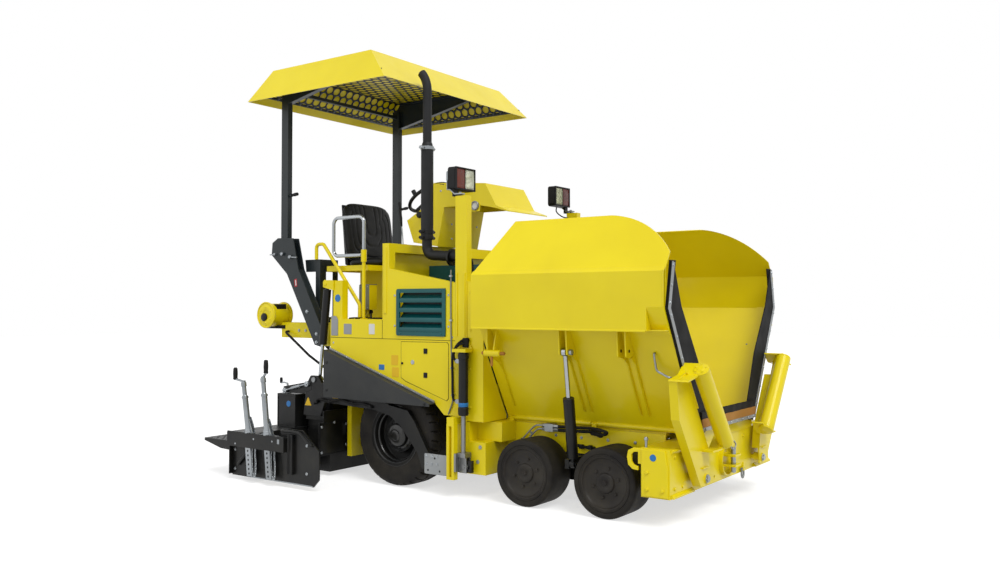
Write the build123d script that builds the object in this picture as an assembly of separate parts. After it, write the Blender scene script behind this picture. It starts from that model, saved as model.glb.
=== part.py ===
from build123d import *
import os

os.makedirs("parts", exist_ok=True)

# All sizes are millimetres. +X is forward, towards the hopper; +Y is the machine's left; +Z is up.
# Every paired piece is drawn on the right side, where Y is negative, and mirrored for the left.

# Clearances
seat_gap = 0.3        # between pieces that rest on or in each other
run_gap = 0.6         # between a pin or rod and what it turns or slides in

# Rear wheels
rear_x = -405
rear_r = 335
rear_out = 700        # outer face of the rear tyre, from the middle
rear_in = 450         # inner face of the rear tyre
rear_rim_r = rear_r - 136
rear_drum_r = rear_rim_r - 79
rear_hub_r = 95
axle_r = 75

# Front wheels, two on each side
front_x = {"rear": 640, "fore": 1180}
front_r = 200
front_out = 720
front_in = 500
king_y = 550          # king pin line
front_bore_r = front_r - 50    # hollow of the front wheel on its inner side
stub_r = 24

# Main frame
rear_plate_y = 400    # outer face of the frame plates between the rear wheels
front_plate_y = 450   # outer face of the frame plates under the hopper
plate = 12
front_plate_top = 462
mid_x1 = 340          # frame box between the rear and the front wheels
mid_y = 690
beam_x0 = 1430        # front cross beam
beam_x1 = 1600
beam_y = 757
beam_z0 = 165
beam_z1 = 430
jaw_x = 1655          # towing jaw in the middle of the cross beam
jaw_z = 280
jaw_r = 15
bolt_y = 320          # ballast bolt holes in the front of the cross beam
bolt_z = 160
bolt_r = 9
column_y0 = 600       # rear columns that end the augers
column_y1 = 482
bar_top = 440         # cross bars under the conveyor
tunnel_y = 250        # conveyor tunnel
tunnel_z1 = 620
engine_z0 = 660

# Body
body_y = 700          # outer face of the side panels
sheet = 5
body_rear_x = -1000
column_x = -510       # rear face of the corner columns
column_top = 1610
floor_z = 1100        # top of the operator's floor
arch_z = 2 * rear_r + 25       # top of the floor over the wheels
post_x0 = 110         # lamp posts
post_x1 = 200
post_y0 = 650
post_z0 = 470
post_top = 1886
louvre_x0 = -380
louvre_x1 = 34
louvre_z0 = 996
louvre_z1 = 1303

# Fender plate outside the tow arm
fender_y = 765
fender_t = 6

# Pins
pin_r = 12
drift_pin_r = 9       # pins that the eye of a lifting or folding cylinder's rod sits on
drift_gap = 6.2       # room in that eye
lift_top = (-1049, -680, 1346)
lift_eye = (-1125, -680, 672)
wing_low = (924, -620, 271)
wing_high = (955, -760, 929)

# Push rollers and their arms
push_y = 442
push_z = 240
arm_x0 = 1622
arm_x1 = 1670
roll_low = (1737, -336, 443)
roll_high = (1737, -660, 850)
roller_r = 46

# Tow arm and screed
arm_y0 = 710
arm_y1 = 735
tow_x = 206
tow_z = 200
tow_pin_r = 15
tow_room = 3.6         # above and below the tow pin in its slot
tow_slot = 26         # the tow pin slides this far each way in the arm while the screed levels
screed_x0 = -1240
screed_x1 = -1020
screed_y = 680
screed_z0 = 30
screed_z1 = 400
ext_x0 = -1500
ext_x1 = -1262
ext_in = 450          # inner end of an extension
ext_z1 = 330
gate_y = 1136
gate_t = 10
cover_y = 1184        # outer face of the cover round the spindles
cover_z = 236
spindle_rows = (      # x of the foot, then x and z of the top, and the grip's x and two heights
    (-1302, -1361, 683, -1443, 690, 765),
    (-1115, -1161, 720, -1130, 745, 828),
)

# Augers
auger_x = -860
auger_z = 220
auger_r = 110
case_y = 40           # half width of the chain case between the augers

# Hopper
wing_x0 = 345
wing_x1 = 1610
hinge_y = 450
hinge_z = 490
hinge_r = 15
knee_y = 825
knee_z = 1180
crease_z = 1393
wing_top_y = 620
wing_top_z = 1710
wing_t = 8
wall_x0 = 327         # rear wall of the hopper
wall_x1 = 337
hopper_floor_z = 490

# Roof
roof_top = 2920
rim_z = roof_top - 226
rim_x0 = -1730
rim_x1 = -374
rim_y = 840
crown_x0 = -1560
crown_x1 = -580
crown_y = 746
roof_t = 5
liner_t = 3
arm_tip_x = -640      # front end of the arms under the roof
roof_post_x0 = -1592
roof_post_x1 = -1522
roof_post_y0 = 634
roof_post_y1 = 592
roof_plate_y = 644    # outer face of the arm plates that carry the roof posts
fold_x = -1557        # pin that the roof folds about
fold_z = 1575

# Rear beams with the hose reel and the portal of the rear control box
reel_beam_z = 1068
portal_x = -1254
portal_top = 1530


def slab(x0, x1, y0, y1, z0, z1):
    """A box given by its limits."""
    return Pos((x0 + x1) / 2, (y0 + y1) / 2, (z0 + z1) / 2) * Box(x1 - x0, y1 - y0, z1 - z0)


def side_plate(points, y0, y1):
    """A plate lying in the XZ plane, given by (x, z) corners, from y0 to y1."""
    face = make_face(Polyline([(x, y0, z) for x, z in points], close=True))
    return extrude(face, amount=y1 - y0, dir=(0, 1, 0))


def cross_plate(points, x0, x1):
    """A plate lying in the YZ plane, given by (y, z) corners, from x0 to x1."""
    face = make_face(Polyline([(x0, y, z) for y, z in points], close=True))
    return extrude(face, amount=x1 - x0, dir=(1, 0, 0))


def flat_face(points, z):
    """A level face given by (x, y) corners at one height."""
    return make_face(Polyline([(x, y, z) for x, y in points], close=True))


def rod(start, end, radius):
    """A round bar from start to end."""
    a = Vector(*start)
    b = Vector(*end)
    plane = Plane(origin=a, z_dir=b - a)
    return extrude(plane * Circle(radius), amount=(b - a).length)


def pipe(start, end, radius, wall):
    """A round tube from start to end."""
    a = Vector(*start)
    b = Vector(*end)
    plane = Plane(origin=a, z_dir=b - a)
    return extrude(plane * (Circle(radius) - Circle(radius - wall)), amount=(b - a).length)


def bent_bar(points, radius, bends):
    """A round bar along straight runs joined by tangent arcs."""
    path = FilletPolyline(*points, radius=bends)
    start = Plane(origin=path @ 0, z_dir=path % 0)
    return sweep(start * Circle(radius), path=path)


def turned(profile, x, z):
    """A right-hand piece turned about a line along Y; profile holds (radius, distance outwards)."""
    line = Polyline([(x + r, -out, z) for r, out in profile], close=True)
    return revolve(make_face(line), Axis((x, 0, z), (0, 1, 0)), 360)


def along(base, tip, distance):
    """The point at a distance from base on the line towards tip."""
    moved = Vector(*base) + (Vector(*tip) - Vector(*base)).normalized() * distance
    return (moved.X, moved.Y, moved.Z)


def across(centre, axis, radius, half_width):
    """A round bar centred on a point and running along axis."""
    reach = Vector(*axis) * half_width
    a = Vector(*centre) - reach
    b = Vector(*centre) + reach
    return rod((a.X, a.Y, a.Z), (b.X, b.Y, b.Z), radius)


def fuse(*shapes):
    whole = shapes[0]
    for shape in shapes[1:]:
        whole = whole + shape
    return whole


def left(shape):
    """The left-hand twin of a right-hand piece."""
    return shape.mirror(Plane.XZ)


def pair(shape):
    """A right-hand piece together with its left-hand twin."""
    return Compound(children=[shape, left(shape)])


def save(shape, name):
    export_step(shape, "parts/" + name + ".step")


def save_both(shape, name):
    """The right-hand and the left-hand piece as two nodes."""
    save(shape, name.replace("SIDE", "right"))
    save(left(shape), name.replace("SIDE", "left"))


# Main frame: side plates, middle boxes, front cross beam, cross bars and wing hinge rods
def frame_half():
    rear = side_plate([(-940, 380), (-660, 380), (-600, 300), (post_x0, 300), (post_x0, engine_z0),
                       (-500, engine_z0), (-500, floor_z - 6 - seat_gap), (-940, floor_z - 6 - seat_gap)],
                      -rear_plate_y, -rear_plate_y + plate)
    rear = rear - rod((rear_x, -rear_plate_y - 9, rear_r), (rear_x, 0, rear_r), axle_r + seat_gap)
    front = slab(post_x0, beam_x0 + 1, -front_plate_y, -front_plate_y + plate, 305, front_plate_top)
    mid = slab(post_x0, mid_x1, -mid_y, -rear_plate_y + plate, 150, 350)
    mid = mid - slab(post_x0 + plate, mid_x1 - plate, -mid_y + plate, -rear_plate_y, 149, 350 - plate)
    upper = slab(post_x0, 400, -600, -front_plate_y + plate, 350, post_z0 - seat_gap)
    step = slab(post_x0, 215, -mid_y, -600, 350, post_z0 - seat_gap)
    hollow = slab(post_x0 + plate, 400 - plate, -600 + plate, -front_plate_y, 339, post_z0 - plate)
    rest = slab(wall_x0, beam_x0, -front_plate_y + plate, -front_plate_y + 60, 452, front_plate_top + 15.7)
    hinge = rod((wing_x0 + 20, -hinge_y, hinge_z), (wing_x1 - 20, -hinge_y, hinge_z), pin_r - 3)
    column = slab(-930, -890, -column_y0, -column_y1, 140, arch_z - sheet - seat_gap)
    column = column - slab(-922, -898, -column_y0 + 8, -column_y1 + 1, 139, arch_z)
    link = slab(-930, -890, -column_y1 - 1, -rear_plate_y + 1, 560, 640)
    half = fuse(rear, front, mid, upper - hollow, step, rest, hinge, column, link)
    for x in (wing_x0 + 20, 960, wing_x1 - 50):
        lug = cross_plate([(-hinge_y - 14, front_plate_top - 40), (-hinge_y + plate, front_plate_top - 40),
                           (-hinge_y + plate, hinge_z), (-hinge_y - 8, hinge_z + 6), (-hinge_y - 14, hinge_z)],
                          x, x + 30)
        half = half + lug
    return half


def main_frame():
    whole = frame_half()
    whole = whole + left(whole)
    beam = slab(beam_x0, beam_x1, -beam_y, beam_y, beam_z0, beam_z1)
    beam = beam - slab(beam_x0 + plate, beam_x1 - plate, -beam_y + plate, beam_y - plate,
                       beam_z0 - 1, beam_z1 - plate)
    whole = whole + beam
    whole = whole + slab(post_x0, post_x0 + plate, -front_plate_y, front_plate_y, 150, bar_top - seat_gap)
    for x in (-780, 700, 1250):
        whole = whole + slab(x, x + 40, -front_plate_y + 11, front_plate_y - 11, 400, bar_top - seat_gap)
    for x in (-400, 20):
        whole = whole + slab(x, x + 50, -rear_plate_y, rear_plate_y, engine_z0 - 35, engine_z0 - seat_gap)
    whole = whole + slab(-940, -928, -rear_plate_y, rear_plate_y, engine_z0, floor_z - 60)
    jaw = Pos(beam_x1 + 40, 0, jaw_z) * Box(90, 90, 72) - Pos(beam_x1 + 46, 0, jaw_z) * Box(90, 91, 48)
    whole = whole + jaw - rod((jaw_x, 0, jaw_z - 40), (jaw_x, 0, jaw_z + 40), jaw_r)
    guard = rod((beam_x1 - 1, 0, jaw_z), (beam_x1 + 25, 0, jaw_z), 96)
    whole = whole + (guard - rod((beam_x1 - 2, 0, jaw_z), (beam_x1 + 26, 0, jaw_z), 88))
    for y in (-bolt_y / 2, bolt_y / 2):
        for z in (jaw_z - bolt_z / 2, jaw_z + bolt_z / 2):
            whole = whole - rod((beam_x1 - plate - 1, y, z), (beam_x1 + 1, y, z), bolt_r)
    case_top = bar_top - seat_gap - 4
    case = side_plate([(-935, 170), (-790, 170), (-745, 400), (-745, case_top), (-800, case_top), (-935, 300)],
                      -case_y, case_y)
    whole = whole + case - rod((auger_x, -case_y - 1, auger_z), (auger_x, case_y + 1, auger_z), 30 + run_gap)
    for y in (-push_y, push_y):
        whole = whole + rod((beam_x1 - 2, y, push_z), (beam_x1 + 84, y, push_z), pin_r + 3)
    return whole


save(main_frame(), "main_frame")


# Body side panels with the floor over the wheels
def side_panel():
    outline = [(body_rear_x, 885), (-60, 575), (20, 500), (post_x0 - seat_gap, 500), (post_x0 - seat_gap, 1338),
               (-450, 1440), (-452, column_top), (column_x, column_top), (column_x, floor_z),
               (body_rear_x, floor_z)]
    skin = side_plate(outline, -body_y, -body_y + sheet)
    skin = skin - slab(louvre_x0, louvre_x1, -body_y - 1, -body_y + sheet + 1, louvre_z0, louvre_z1)
    floor = slab(body_rear_x + 6, post_x0 - seat_gap, -body_y + 1, -rear_plate_y - seat_gap, arch_z - sheet,
                 arch_z)
    flange = side_plate([(-450, 1440), (post_x0 - seat_gap, 1338), (post_x0 - seat_gap, 1332), (-450, 1434)],
                        -body_y + 1, -body_y + 36)
    front = slab(post_x0 - seat_gap - 4, post_x0 - seat_gap, -body_y + 1, -body_y + 36, 500, 1335)
    return fuse(skin, floor, flange, front)


save(pair(side_panel()), "side_panels")


# Handrail and the socket post of the grab loop
def handrails():
    path = [(-1287, -565, portal_top + seat_gap), (-1287, -565, 1640), (-1215, -565, 1640), (-850, -565, 1200),
            (-850, -565, floor_z + 3)]
    rail = bent_bar(path, 13, [30, 30, 40])
    foot = slab(-880, -780, -600, -530, floor_z - 1, floor_z + 6)
    post = rod((-812, -565, floor_z + 3), (-812, -565, 1535), 13)
    socket = pipe((-812, -565, 1500), (-812, -565, 1585), 20, 7)
    return fuse(rail, foot, post, socket)


# Platform: floor, rear panel, corner columns, deck beam, stanchions, brackets and handrails
def platform():
    inner = body_y - sheet - seat_gap
    deck = slab(body_rear_x, column_x, -inner, inner, floor_z - 6, floor_z)
    rear = slab(body_rear_x, body_rear_x + sheet, -inner, inner, 700, floor_z - 3)
    column = slab(column_x, column_x + 60, -inner, -640, arch_z + seat_gap, column_top)
    gusset = slab(-1128, body_rear_x + 1, -635.7, -590.3, 905, 1070)
    stanchion = slab(-978, -891, -inner, -640, floor_z - 3, 1368)
    half = fuse(column, gusset, stanchion)
    for y in (-704, -662):
        ear = side_plate([(-1072, 1322), (-970, 1300), (-970, 1368), (-1060, 1374), (-1074, 1360)], y, y + 6)
        half = half + ear
    half = half + slab(-984, -974, -704, -640, 1300, 1368)
    pin = across((lift_top[0], -680, lift_top[2]), (0, 1, 0), pin_r, 28)
    half = half + pin
    both = half + left(half)
    beam = slab(column_x, column_x + 60, -640, 640, 1550, column_top)
    wall = slab(column_x + 1, column_x + 6, -641, 641, floor_z - 6, 1551)
    return fuse(both, deck, rear, beam, wall, handrails())


save(platform(), "platform")


# Loose grab loop that stands in the socket post
loop_path = [(-812, -565, 1535 + seat_gap), (-812, -565, 1820), (-1110, -565, 1820), (-1110, -565, 1548),
             (-834, -565, 1548)]
save(bent_bar(loop_path, 12.5, [45, 45, 45]), "grab_loop")


# Lamp posts, their cross beam, the levelling cylinder brackets and the height guides
def lamp_posts():
    post = slab(post_x0, post_x1, -body_y, -post_y0, post_z0, post_top)
    post = post - slab(post_x0 + 4, post_x1 - 4, -body_y + 4, -post_y0 - 4, post_z0 - 1, post_top - 4)
    guide = slab(108, 166, -785, -745, 117, 458)
    guide = guide - slab(126, 148, -786, -757, 132, 446)
    hanger = slab(post_x0, 166, -785, -body_y + 2, 458, 500)
    bracket = slab(post_x0 + 30, 246, -772, -body_y + 2, 905, 925)
    cheek = side_plate([(post_x1 - 40, 925), (246, 925), (post_x1, 1000), (post_x1 - 40, 1000)],
                       -body_y - 4, -body_y + 2)
    half = fuse(post, guide, hanger, bracket, cheek)
    beam = slab(post_x0 + 15, post_x1 - 15, -post_y0 - 2, post_y0 + 2, 1491, 1552)
    return fuse(half, left(half), beam)


save(lamp_posts(), "lamp_posts")


# Louvres in the side panels and the engine hood, in one paint
def louvre():
    rim = 26
    x0 = louvre_x0 + seat_gap
    x1 = louvre_x1 - seat_gap
    z0 = louvre_z0 + seat_gap
    z1 = louvre_z1 - seat_gap
    grille = slab(x0, x1, -body_y - 9, -body_y + sheet, z0, z1)
    grille = fillet(grille.edges().filter_by(Axis.Y), 14)
    grille = grille - slab(x0 + rim, x1 - rim, -body_y - 10, -body_y + sheet + 1, z0 + rim, z1 - rim)
    pitch = (z1 - z0 - 2 * rim) / 4
    for i in range(4):
        z = z0 + rim + pitch * i + 4
        slat = cross_plate([(-body_y - 6, z), (-body_y - 6, z + 7), (-body_y + 30, z + 49),
                            (-body_y + 30, z + 42)], x0 + rim - 4, x1 - rim + 4)
        grille = grille + slat
    return grille


def engine_hood():
    outline = [(-430, arch_z + seat_gap), (95, arch_z + seat_gap), (95, 1400), (40, 1470), (-430, 1470)]
    inside = [(-426, arch_z - 10), (91, arch_z - 10), (91, 1398), (38, 1466), (-426, 1466)]
    return side_plate(outline, -310, 600) - side_plate(inside, -306, 596)


save(Compound(children=[louvre(), left(louvre()), engine_hood()]), "teal_covers")
save(slab(-400, 70, -300, 300, engine_z0, 1100), "engine_block")


# Fenders outside the tow arms, held to the body by their sloping top
def fender():
    skin = side_plate([(-1000, 888), (-1000, 560), (-50, 553), (-50, 572)], -fender_y, -fender_y + fender_t)
    top = side_plate([(-1000, 882), (-50, 566), (-50, 572), (-1000, 888)], -fender_y + 1, -body_y - seat_gap)
    return skin + top


save(pair(fender()), "fenders")


# Headlamps on brackets at the tops of the lamp posts
def headlamp():
    shell = slab(45, 100, -697, -490, 1930, 2079)
    shell = fillet(shell.edges().filter_by(Axis.X), 22)
    lens = slab(99, 106, -686, -501, 1941, 2068)
    bracket = slab(80, 150, -695, -655, post_top + seat_gap, 1892) + slab(80, 92, -695, -655, 1886.3, 1935)
    return fuse(shell, lens, bracket)


save(pair(headlamp()), "headlamps")


# Exhaust: muffler in the engine bay, pipe, sleeve and stack
stack_x = -290
stack_y = -500
stack_top = 2640      # where the stack starts to lean
sleeve_z0 = 1680
sleeve_z1 = 2250


def exhaust():
    x = stack_x
    y = stack_y
    elbow = bent_bar([(x, y, 1700), (x, y, 1535), (62, y, 1510), (62, y, 1160)], 34, [60, 60])
    sleeve = pipe((x, y, sleeve_z0), (x, y, sleeve_z1), 42, 6)
    collar = rod((x, y, sleeve_z0 - 40), (x, y, sleeve_z0 + 20), 42)
    stack = pipe((x, y, sleeve_z0 + 10), (x, y, stack_top), 30, 3)
    muffler = rod((-340, y, 1150), (90, y, 1150), 85)
    feet = slab(-260, -240, y - 20, y + 20, arch_z + seat_gap, 1100)
    feet = feet + slab(0, 20, y - 20, y + 20, arch_z + seat_gap, 1100)
    lean = ThreePointArc((x, y, stack_top), (x - 12, y, stack_top + 72), (x - 48, y, stack_top + 132))
    tip = sweep(Plane(origin=(x, y, stack_top), z_dir=(0, 0, 1)) * (Circle(30) - Circle(27)), path=lean)
    return fuse(elbow, collar, sleeve, stack, tip, muffler, feet)


save(exhaust(), "exhaust")


# Seat, its tray and pedestal
def seat():
    cushion = slab(-1230, -790, -350, 190, 1480, 1556)
    cushion = fillet(cushion.edges(), 30)
    back = side_plate([(-1235, 1500), (-1150, 1500), (-1225, 1977), (-1300, 1968)], -345, 185)
    back = fillet(back.edges(), 24)
    return cushion + back


save(seat(), "seat")


def control_stand():
    tray = slab(-1210, -795, -535, 180, 1440, 1480 - seat_gap)
    tray = tray - slab(-1206, -799, -531, 176, 1439, 1474)
    leg = slab(-1180, -900, -220, 60, floor_z + seat_gap, 1476)
    box = slab(-940, -850, -470, -390, 1165, 1340)
    box = box + rod((-895, -430, floor_z + seat_gap), (-895, -430, 1170), 14)
    return Compound(children=[tray + leg, box])


save(control_stand(), "control_stand")


# Console with its hood and the steering column
wheel_centre = (-620, -70, 1985)
wheel_plane = Plane(origin=wheel_centre, z_dir=(-0.55, 0, 0.835))
column_r = 26
column_gap = 70       # from the steering wheel down into its column


def console():
    profile = [(-640, 1800), (-577, 1640), (-360, 1605), (-300, 1880), (-300, 2030),
               (-400, 2050), (-509, 1871)]
    inside = [(-634, 1799), (-573, 1645), (-365, 1611), (-306, 1880), (-306, 2024),
              (-397, 2043), (-505, 1865)]
    body = side_plate(profile, -305, 160) - side_plate(inside, -300, 155)
    hood = side_plate([(-400, 2052), (-300, 2044), (51, 2016), (142, 1860), (247, 1820), (247, 1812),
                       (142, 1842), (60, 1860), (-29, 1875), (-301, 1875), (-301, 2035)], -305, 160)
    hollow = side_plate([(-296, 2038), (48, 2010), (138, 1855), (260, 1808), (260, 1780),
                         (-296, 1780)], -300, 155)
    foot = slab(-509, -360, -120, -20, column_top + seat_gap, column_top + 8)
    foot = foot + slab(-509, -400, -120, -20, column_top + 1, 1645)
    column = wheel_plane * Pos(0, 0, -108) * Cylinder(column_r, 104)
    column = column - wheel_plane * Pos(0, 0, -64) * Cylinder(column_r - 8 + run_gap, 20)
    return fuse(body, hood - hollow, foot, column)


save(console(), "console")


# Roof: shell, perforated liner and posts with the arms and bars that carry it
def tray(inset, low, high):
    """The solid under the roof's outline, pulled in by inset."""
    half = inset / 2
    rim = flat_face([(rim_x0 + inset, -rim_y + inset), (rim_x1 - inset, -rim_y + inset),
                     (rim_x1 - inset, rim_y - inset), (rim_x0 + inset, rim_y - inset)], low)
    crown = flat_face([(crown_x0 + half, -crown_y + half), (crown_x1 - half, -crown_y + half),
                       (crown_x1 - half, crown_y - half), (crown_x0 + half, crown_y - half)], high)
    return loft([rim, crown])


save(tray(0, rim_z, roof_top) - tray(roof_t, rim_z - 1, roof_top - roof_t), "roof_shell")
liner_top = roof_top - roof_t - seat_gap
liner = tray(roof_t + 3, rim_z - 1, liner_top) - tray(roof_t + 3 + liner_t, rim_z - 2, liner_top - liner_t)
liner = liner - slab(rim_x0, rim_x1, -rim_y, rim_y, rim_z - 5, rim_z + 45)
save(liner, "roof_liner")


def roof_posts():
    ceiling = liner_top - liner_t - seat_gap
    post = slab(roof_post_x0, roof_post_x1, -roof_post_y0, -roof_post_y1, fold_z - 30, roof_top - 75)
    post = post - slab(roof_post_x0 + 4, roof_post_x1 - 4, -roof_post_y0 + 4, -roof_post_y1 - 4,
                       fold_z + 40, roof_top - 85)
    post = post - rod((fold_x, -roof_post_y0 - 1, fold_z), (fold_x, -roof_post_y1 + 1, fold_z), 10 + run_gap)
    knob = rod((roof_post_x1 - 1, -613, 2010), (roof_post_x1 + 22, -613, 2010), 12)
    arm = side_plate([(roof_post_x0, rim_z), (roof_post_x1, rim_z), (arm_tip_x, roof_top - 50),
                      (arm_tip_x, ceiling), (-1540, ceiling), (roof_post_x0, roof_top - 75)],
                     -roof_post_y0, -roof_post_y0 + 6)
    lower = side_plate([(roof_post_x1, rim_z), (arm_tip_x, roof_top - 50), (arm_tip_x, roof_top - 44),
                        (roof_post_x1, rim_z + 6)], -roof_post_y0, -roof_post_y1)
    upper = slab(-1540, arm_tip_x, -roof_post_y0, -roof_post_y1, ceiling - 6, ceiling)
    half = fuse(post, knob, arm, lower, upper)
    bar = slab(-1572, -1542, -roof_post_y1 - 5, roof_post_y1 + 5, rim_z + 88, rim_z + 112)
    front = slab(arm_tip_x - 36, arm_tip_x, -roof_post_y0 + 5, roof_post_y0 - 5, roof_top - 46, ceiling)
    return fuse(half, left(half), bar, front)


save(roof_posts(), "roof_posts")


# Slanted arms that carry the roof posts between two plates
def roof_arm():
    upper = [(-1684, 1571), (-1676, 1661), (-1615, 1695), (-1454, 1688), (-1395, 1460), (-1132, 1003),
             (-1125, 892), (-1218, 911), (-1515, 1426)]
    outer = side_plate(upper, -roof_plate_y, -roof_plate_y + 8)
    inner = side_plate(upper, -roof_post_y1 + 2, -roof_post_y1 + 10)
    web = side_plate([(-1400, 1456), (-1132, 1003), (-1140, 1000), (-1404, 1448)],
                     -roof_plate_y + 1, -roof_post_y1 + 9)
    lock = rod((-1470, -roof_plate_y - 8, 1550), (-1470, -roof_post_y1 + 18, 1550), 8)
    pivot = rod((fold_x, -roof_plate_y - 8, fold_z), (fold_x, -roof_post_y1 + 18, fold_z), 10)
    return fuse(outer, inner, web, lock, pivot)


# Portal that holds the rear control box, beside the right arm
def control_portal():
    z0 = reel_beam_z + seat_gap
    front = slab(portal_x - 6, portal_x, -560, -380, z0, portal_top)
    front = front - slab(portal_x - 7, portal_x + 1, -500, -430, z0 + 40, portal_top - 90)
    side = side_plate([(portal_x - 156, portal_top), (portal_x, portal_top), (portal_x, z0),
                       (portal_x - 46, z0), (portal_x - 46, portal_top - 90),
                       (portal_x - 146, portal_top - 90)], -560, -555)
    far = slab(portal_x - 46, portal_x, -385, -380, z0, portal_top)
    cap = slab(portal_x - 60, portal_x, -560, -380, portal_top - 6, portal_top)
    return fuse(front, side, far, cap)


save(Compound(children=[roof_arm(), left(roof_arm()), control_portal()]), "roof_arms")


# Hose reel on the beam behind the body
def hose_reel():
    x = -1722
    z = 1122
    drum = rod((x, -655, z), (x, -495, z), 86)
    flanges = rod((x, -662, z), (x, -650, z), 95) + rod((x, -500, z), (x, -488, z), 95)
    beam = slab(-1640, body_rear_x - seat_gap, -580, -500, 955, reel_beam_z)
    beam = beam - slab(-1641, body_rear_x, -576, -504, 950, reel_beam_z - 6)
    second = slab(-1330, body_rear_x - seat_gap, -430, -370, 985, reel_beam_z)
    second = second - slab(-1331, body_rear_x, -426, -374, 980, reel_beam_z - 6)
    tie = slab(-1330, -1322, -501, -429, 985, reel_beam_z)
    seat_block = slab(-1760, -1600, -580, -505, 1028, 1048)
    return fuse(drum, flanges, beam, second, tie, seat_block)


save(hose_reel(), "hose_reel")


# Hoses the machine holds at both ends
def hoses():
    first = bent_bar([(-1560, -580 - seat_gap, 1000), (-1560, -618, 1000), (-1300, -618, 830),
                      (-1080, -618, 720), (body_rear_x - seat_gap, -618, 720)], 9, [24, 60, 60])
    second = bent_bar([(-1180, -570, 955 - seat_gap), (-1180, -570, 900), (-1080, -570, 840),
                       (body_rear_x - seat_gap, -570, 840)], 9, [25, 25])
    return Compound(children=[first, second])


save(hoses(), "hoses")


# Hopper floor and rear wall, conveyor and apron
def hopper_floor():
    strip = slab(wall_x0, wing_x1 - 20, -hinge_y + 22, -tunnel_y - 4, hopper_floor_z - 12, hopper_floor_z)
    wall = cross_plate([(-430, 478), (-430, 500), (-795, 1170), (-795, 1350), (795, 1350), (795, 1170),
                        (430, 500), (430, 478)], wall_x0, wall_x1)
    wall = wall - slab(wall_x0 - 1, wall_x1 + 1, -tunnel_y - 4, tunnel_y + 4, 470, tunnel_z1)
    brace = slab(post_x1 + seat_gap, wall_x0 + 1, -690, -680, 1200, 1300)
    half = fuse(strip, brace)
    return fuse(half, left(half), wall)


save(hopper_floor(), "hopper_floor")


def conveyor():
    bed = slab(-790, 1560, -tunnel_y, tunnel_y, bar_top, bar_top + 10)
    for i in range(23):
        x = -770 + i * 101
        bed = bed + slab(x, x + 22, -tunnel_y, tunnel_y, bar_top + 9, bar_top + 26)
    return bed


save(conveyor(), "conveyor")
apron_z = hopper_floor_z + seat_gap
apron = slab(wing_x1 + 12, wing_x1 + 24, -420, 420, apron_z, 600)
apron = apron + slab(1560, wing_x1 + 13, -345, 345, apron_z, apron_z + 10)
save(apron, "apron")


# Rear axle with its hubs, and the front bogies with their king pins
def axles():
    tube = rod((rear_x, -rear_in - 60, rear_r), (rear_x, rear_in + 60, rear_r), axle_r)
    hub = rod((rear_x, -570 + run_gap, rear_r), (rear_x, -500, rear_r), rear_drum_r)
    beam = slab(500, 1320, -445, -365, 140, 300)
    pin = rod((905, wing_low[1], 271), (945, wing_low[1], 271), pin_r)
    ear = slab(880, 906, -642, -440, 243, 297) + slab(906, 946, -455, -440, 243, 297)
    half = fuse(beam, ear, pin)
    for x in front_x.values():
        for z0, z1 in ((258, 280), (120, 142)):
            half = half + slab(x - 35, x + 35, -king_y - 35, -444, z0, z1)
        half = half + rod((x, -king_y, 121), (x, -king_y, 279), pin_r)
    half = half + slab(885, 935, -front_plate_y + plate + seat_gap, -365, 299, 365)
    cross = rod((910, -366, 220), (910, 366, 220), 45)
    return Compound(children=[fuse(tube, hub, left(hub)), fuse(cross, half, left(half))])


save(axles(), "axles")

# Knuckles and front wheels
for word, x in front_x.items():
    block = slab(x - 32, x + 32, -king_y - 30, -king_y + 30, 144, 256)
    block = block - rod((x, -king_y, 140), (x, -king_y, 260), pin_r + run_gap)
    stub = rod((x, -king_y - 29, front_r), (x, -front_out + 26, front_r), stub_r)
    save_both(block + stub, "knuckle_SIDE_" + word)
    profile = [(front_bore_r, front_in), (front_r - 12, front_in), (front_r, front_in + 12),
               (front_r, front_out - 12), (front_r - 12, front_out), (front_r - 36, front_out),
               (front_r - 42, front_out - 7),
               (0, front_out - 7), (0, front_out - 22), (stub_r + run_gap, front_out - 22),
               (stub_r + run_gap, 595), (55, 595), (60, front_out - 34), (front_bore_r, front_out - 34)]
    save_both(turned(profile, x, front_r), "front_wheel_SIDE_" + word)

# Rear wheels
tyre_profile = [(rear_rim_r + seat_gap, rear_in + 12), (rear_r - 45, rear_in), (rear_r - 12, rear_in + 14),
                (rear_r, rear_in + 40), (rear_r, rear_out - 40), (rear_r - 12, rear_out - 14),
                (rear_r - 45, rear_out), (rear_rim_r + seat_gap, rear_out - 12)]
rim_profile = [(rear_rim_r, rear_in + 12), (rear_rim_r, rear_out - 12), (rear_rim_r - 14, rear_out - 12),
               (rear_rim_r - 22, rear_out - 40), (rear_rim_r - 30, 610), (rear_hub_r, 596), (rear_hub_r, 640),
               (40, 662), (0, 662), (0, 570), (rear_rim_r - 44, 570), (rear_rim_r - 12, rear_in + 40),
               (rear_rim_r - 12, rear_in + 12)]
save_both(turned(tyre_profile, rear_x, rear_r), "rear_tyre_SIDE")
save_both(turned(rim_profile, rear_x, rear_r), "rear_rim_SIDE")


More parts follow.
